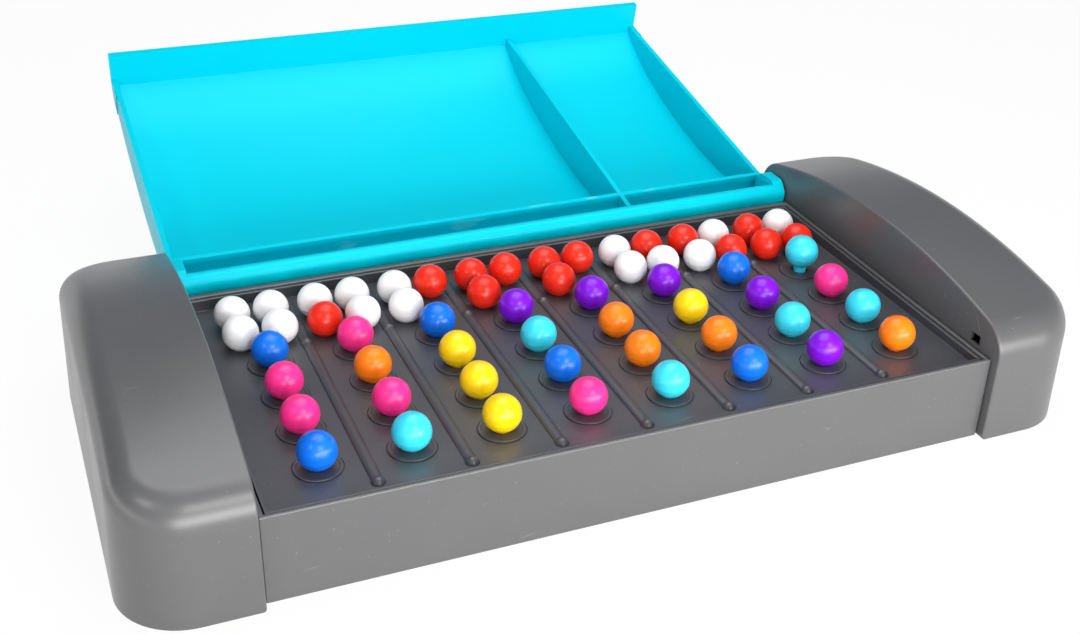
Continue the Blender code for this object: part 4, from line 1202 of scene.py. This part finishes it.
def make_floor():
    """A white floor: seen or mirrored it is mostly its own white, and it still takes the shadow."""
    bm = bmesh.new()
    bmesh.ops.create_grid(bm, x_segments=1, y_segments=1, size=FLOOR_SIZE)
    floor = add_object("floor", mesh_of("floor", bm))
    n = new_material("floor_white")
    n.fix("Roughness", 0.9)
    n.fix("Specular IOR Level", 0.1)
    n.feed("Base Color", n.blend(n.noise(3.0), *FLOOR_COLOURS))
    light = n.add("ShaderNodeEmission")
    rays = n.add("ShaderNodeLightPath").outputs
    seen = n.math("MAXIMUM", rays["Is Camera Ray"], rays["Is Glossy Ray"])
    share = n.math("MULTIPLY", n.math("MAXIMUM", seen, rays["Is Transmission Ray"]), FLOOR_GLOW)
    mix = n.add("ShaderNodeMixShader")
    for value, socket in zip((share, n.shader.outputs[0], light.outputs[0]), mix.inputs):
        n.wire(value, socket)
    n.wire(mix.outputs[0], n.tree.nodes["Material Output"].inputs["Surface"])
    floor.data.materials.append(n.material)


def make_world():
    """A studio round the table: white low down, brightest in front, dim and cool behind, soft overhead."""
    world = bpy.data.worlds.new("studio")
    bpy.context.scene.world = world
    n = Nodes(world, "Generated")
    x, y, z = n.axes()
    front = n.span(y, 0.25, -0.45, 0.0, 1.0)
    upper = n.blend(front, BACKDROP, FRONT_WALL)
    upper = n.blend(n.span(z, 0.70, 0.97, 0.0, 1.0), upper, CEILING)
    upper = n.blend(n.span(x, -0.40, -0.75, 0.0, 1.0), upper, LEFT_WALL)
    low = n.blend(n.span(y, -0.15, -0.75, 0.0, 1.0), HORIZON, FRONT_BAND)
    low = n.blend(n.span(x, -0.55, -0.90, 0.0, 1.0), low, LEFT_BAND)
    glow = n.tree.nodes["Background"]
    n.wire(n.blend(n.span(z, 0.08, 0.21, 0.0, 1.0), low, upper), glow.inputs["Color"])


def add_lamp(name, at, aim, size, power):
    light = bpy.data.lights.new(name, "AREA")
    light.shape = "RECTANGLE"
    light.size, light.size_y = size
    light.energy = power
    obj = bpy.data.objects.new(name, light)
    bpy.context.scene.collection.objects.link(obj)
    obj.visible_camera = False
    obj.location = at
    obj.rotation_euler = (Vector(aim) - Vector(at)).to_track_quat("-Z", "Y").to_euler()


def make_camera():
    """The photograph's view, in the part's own frame."""
    yaw, pitch, roll = CAMERA_YAW, CAMERA_PITCH, CAMERA_ROLL
    forward = Vector((sin(yaw) * cos(pitch), cos(yaw) * cos(pitch), sin(pitch)))
    right = Vector((cos(yaw), -sin(yaw), 0))
    up = right.cross(forward)
    across = cos(roll) * right + sin(roll) * up
    upward = -sin(roll) * right + cos(roll) * up
    data = bpy.data.cameras.new("camera")
    data.sensor_width = SENSOR_WIDTH
    data.lens = CAMERA_FOCAL / PHOTO_WIDTH * SENSOR_WIDTH
    data.clip_start = CAMERA_CLIP
    camera = bpy.data.objects.new("camera", data)
    bpy.context.scene.collection.objects.link(camera)
    camera.matrix_world = Matrix((across, upward, -forward)).transposed().to_4x4()
    camera.location = CAMERA_PLACE
    bpy.context.scene.camera = camera


def build():
    shell = moulded_plastic("shell", SHELL_COLOUR, 0.32, 0.00003, speck=0.30, specular=0.65)
    board = moulded_plastic("board", BOARD_COLOUR, 0.41, 0.00003, speck=0.90, specular=0.9)
    lid = lid_plastic("lid_cyan", LID_COLOUR)
    cover = moulded_plastic("cover_grey", COVER_COLOUR, 0.52, 0.00005, speck=0.2, specular=0.5)
    steel = screw_steel("steel")
    pegs = {name: peg_plastic(name + "_peg", colour) for name, colour in PEG_COLOURS.items()}
    make_frame(shell)
    make_board(board)
    make_cap("cap_left", "left_cap", -1, shell)
    make_cap("cap_right", "right_cap", 1, shell)
    make_lid(lid)
    make_cover(cover)
    make_screws(steel)
    make_pegs(pegs)
    make_floor()
    make_world()
    for lamp in LAMPS:
        add_lamp(*lamp)
    make_camera()
    bpy.context.scene.view_settings.view_transform = "Standard"


build()
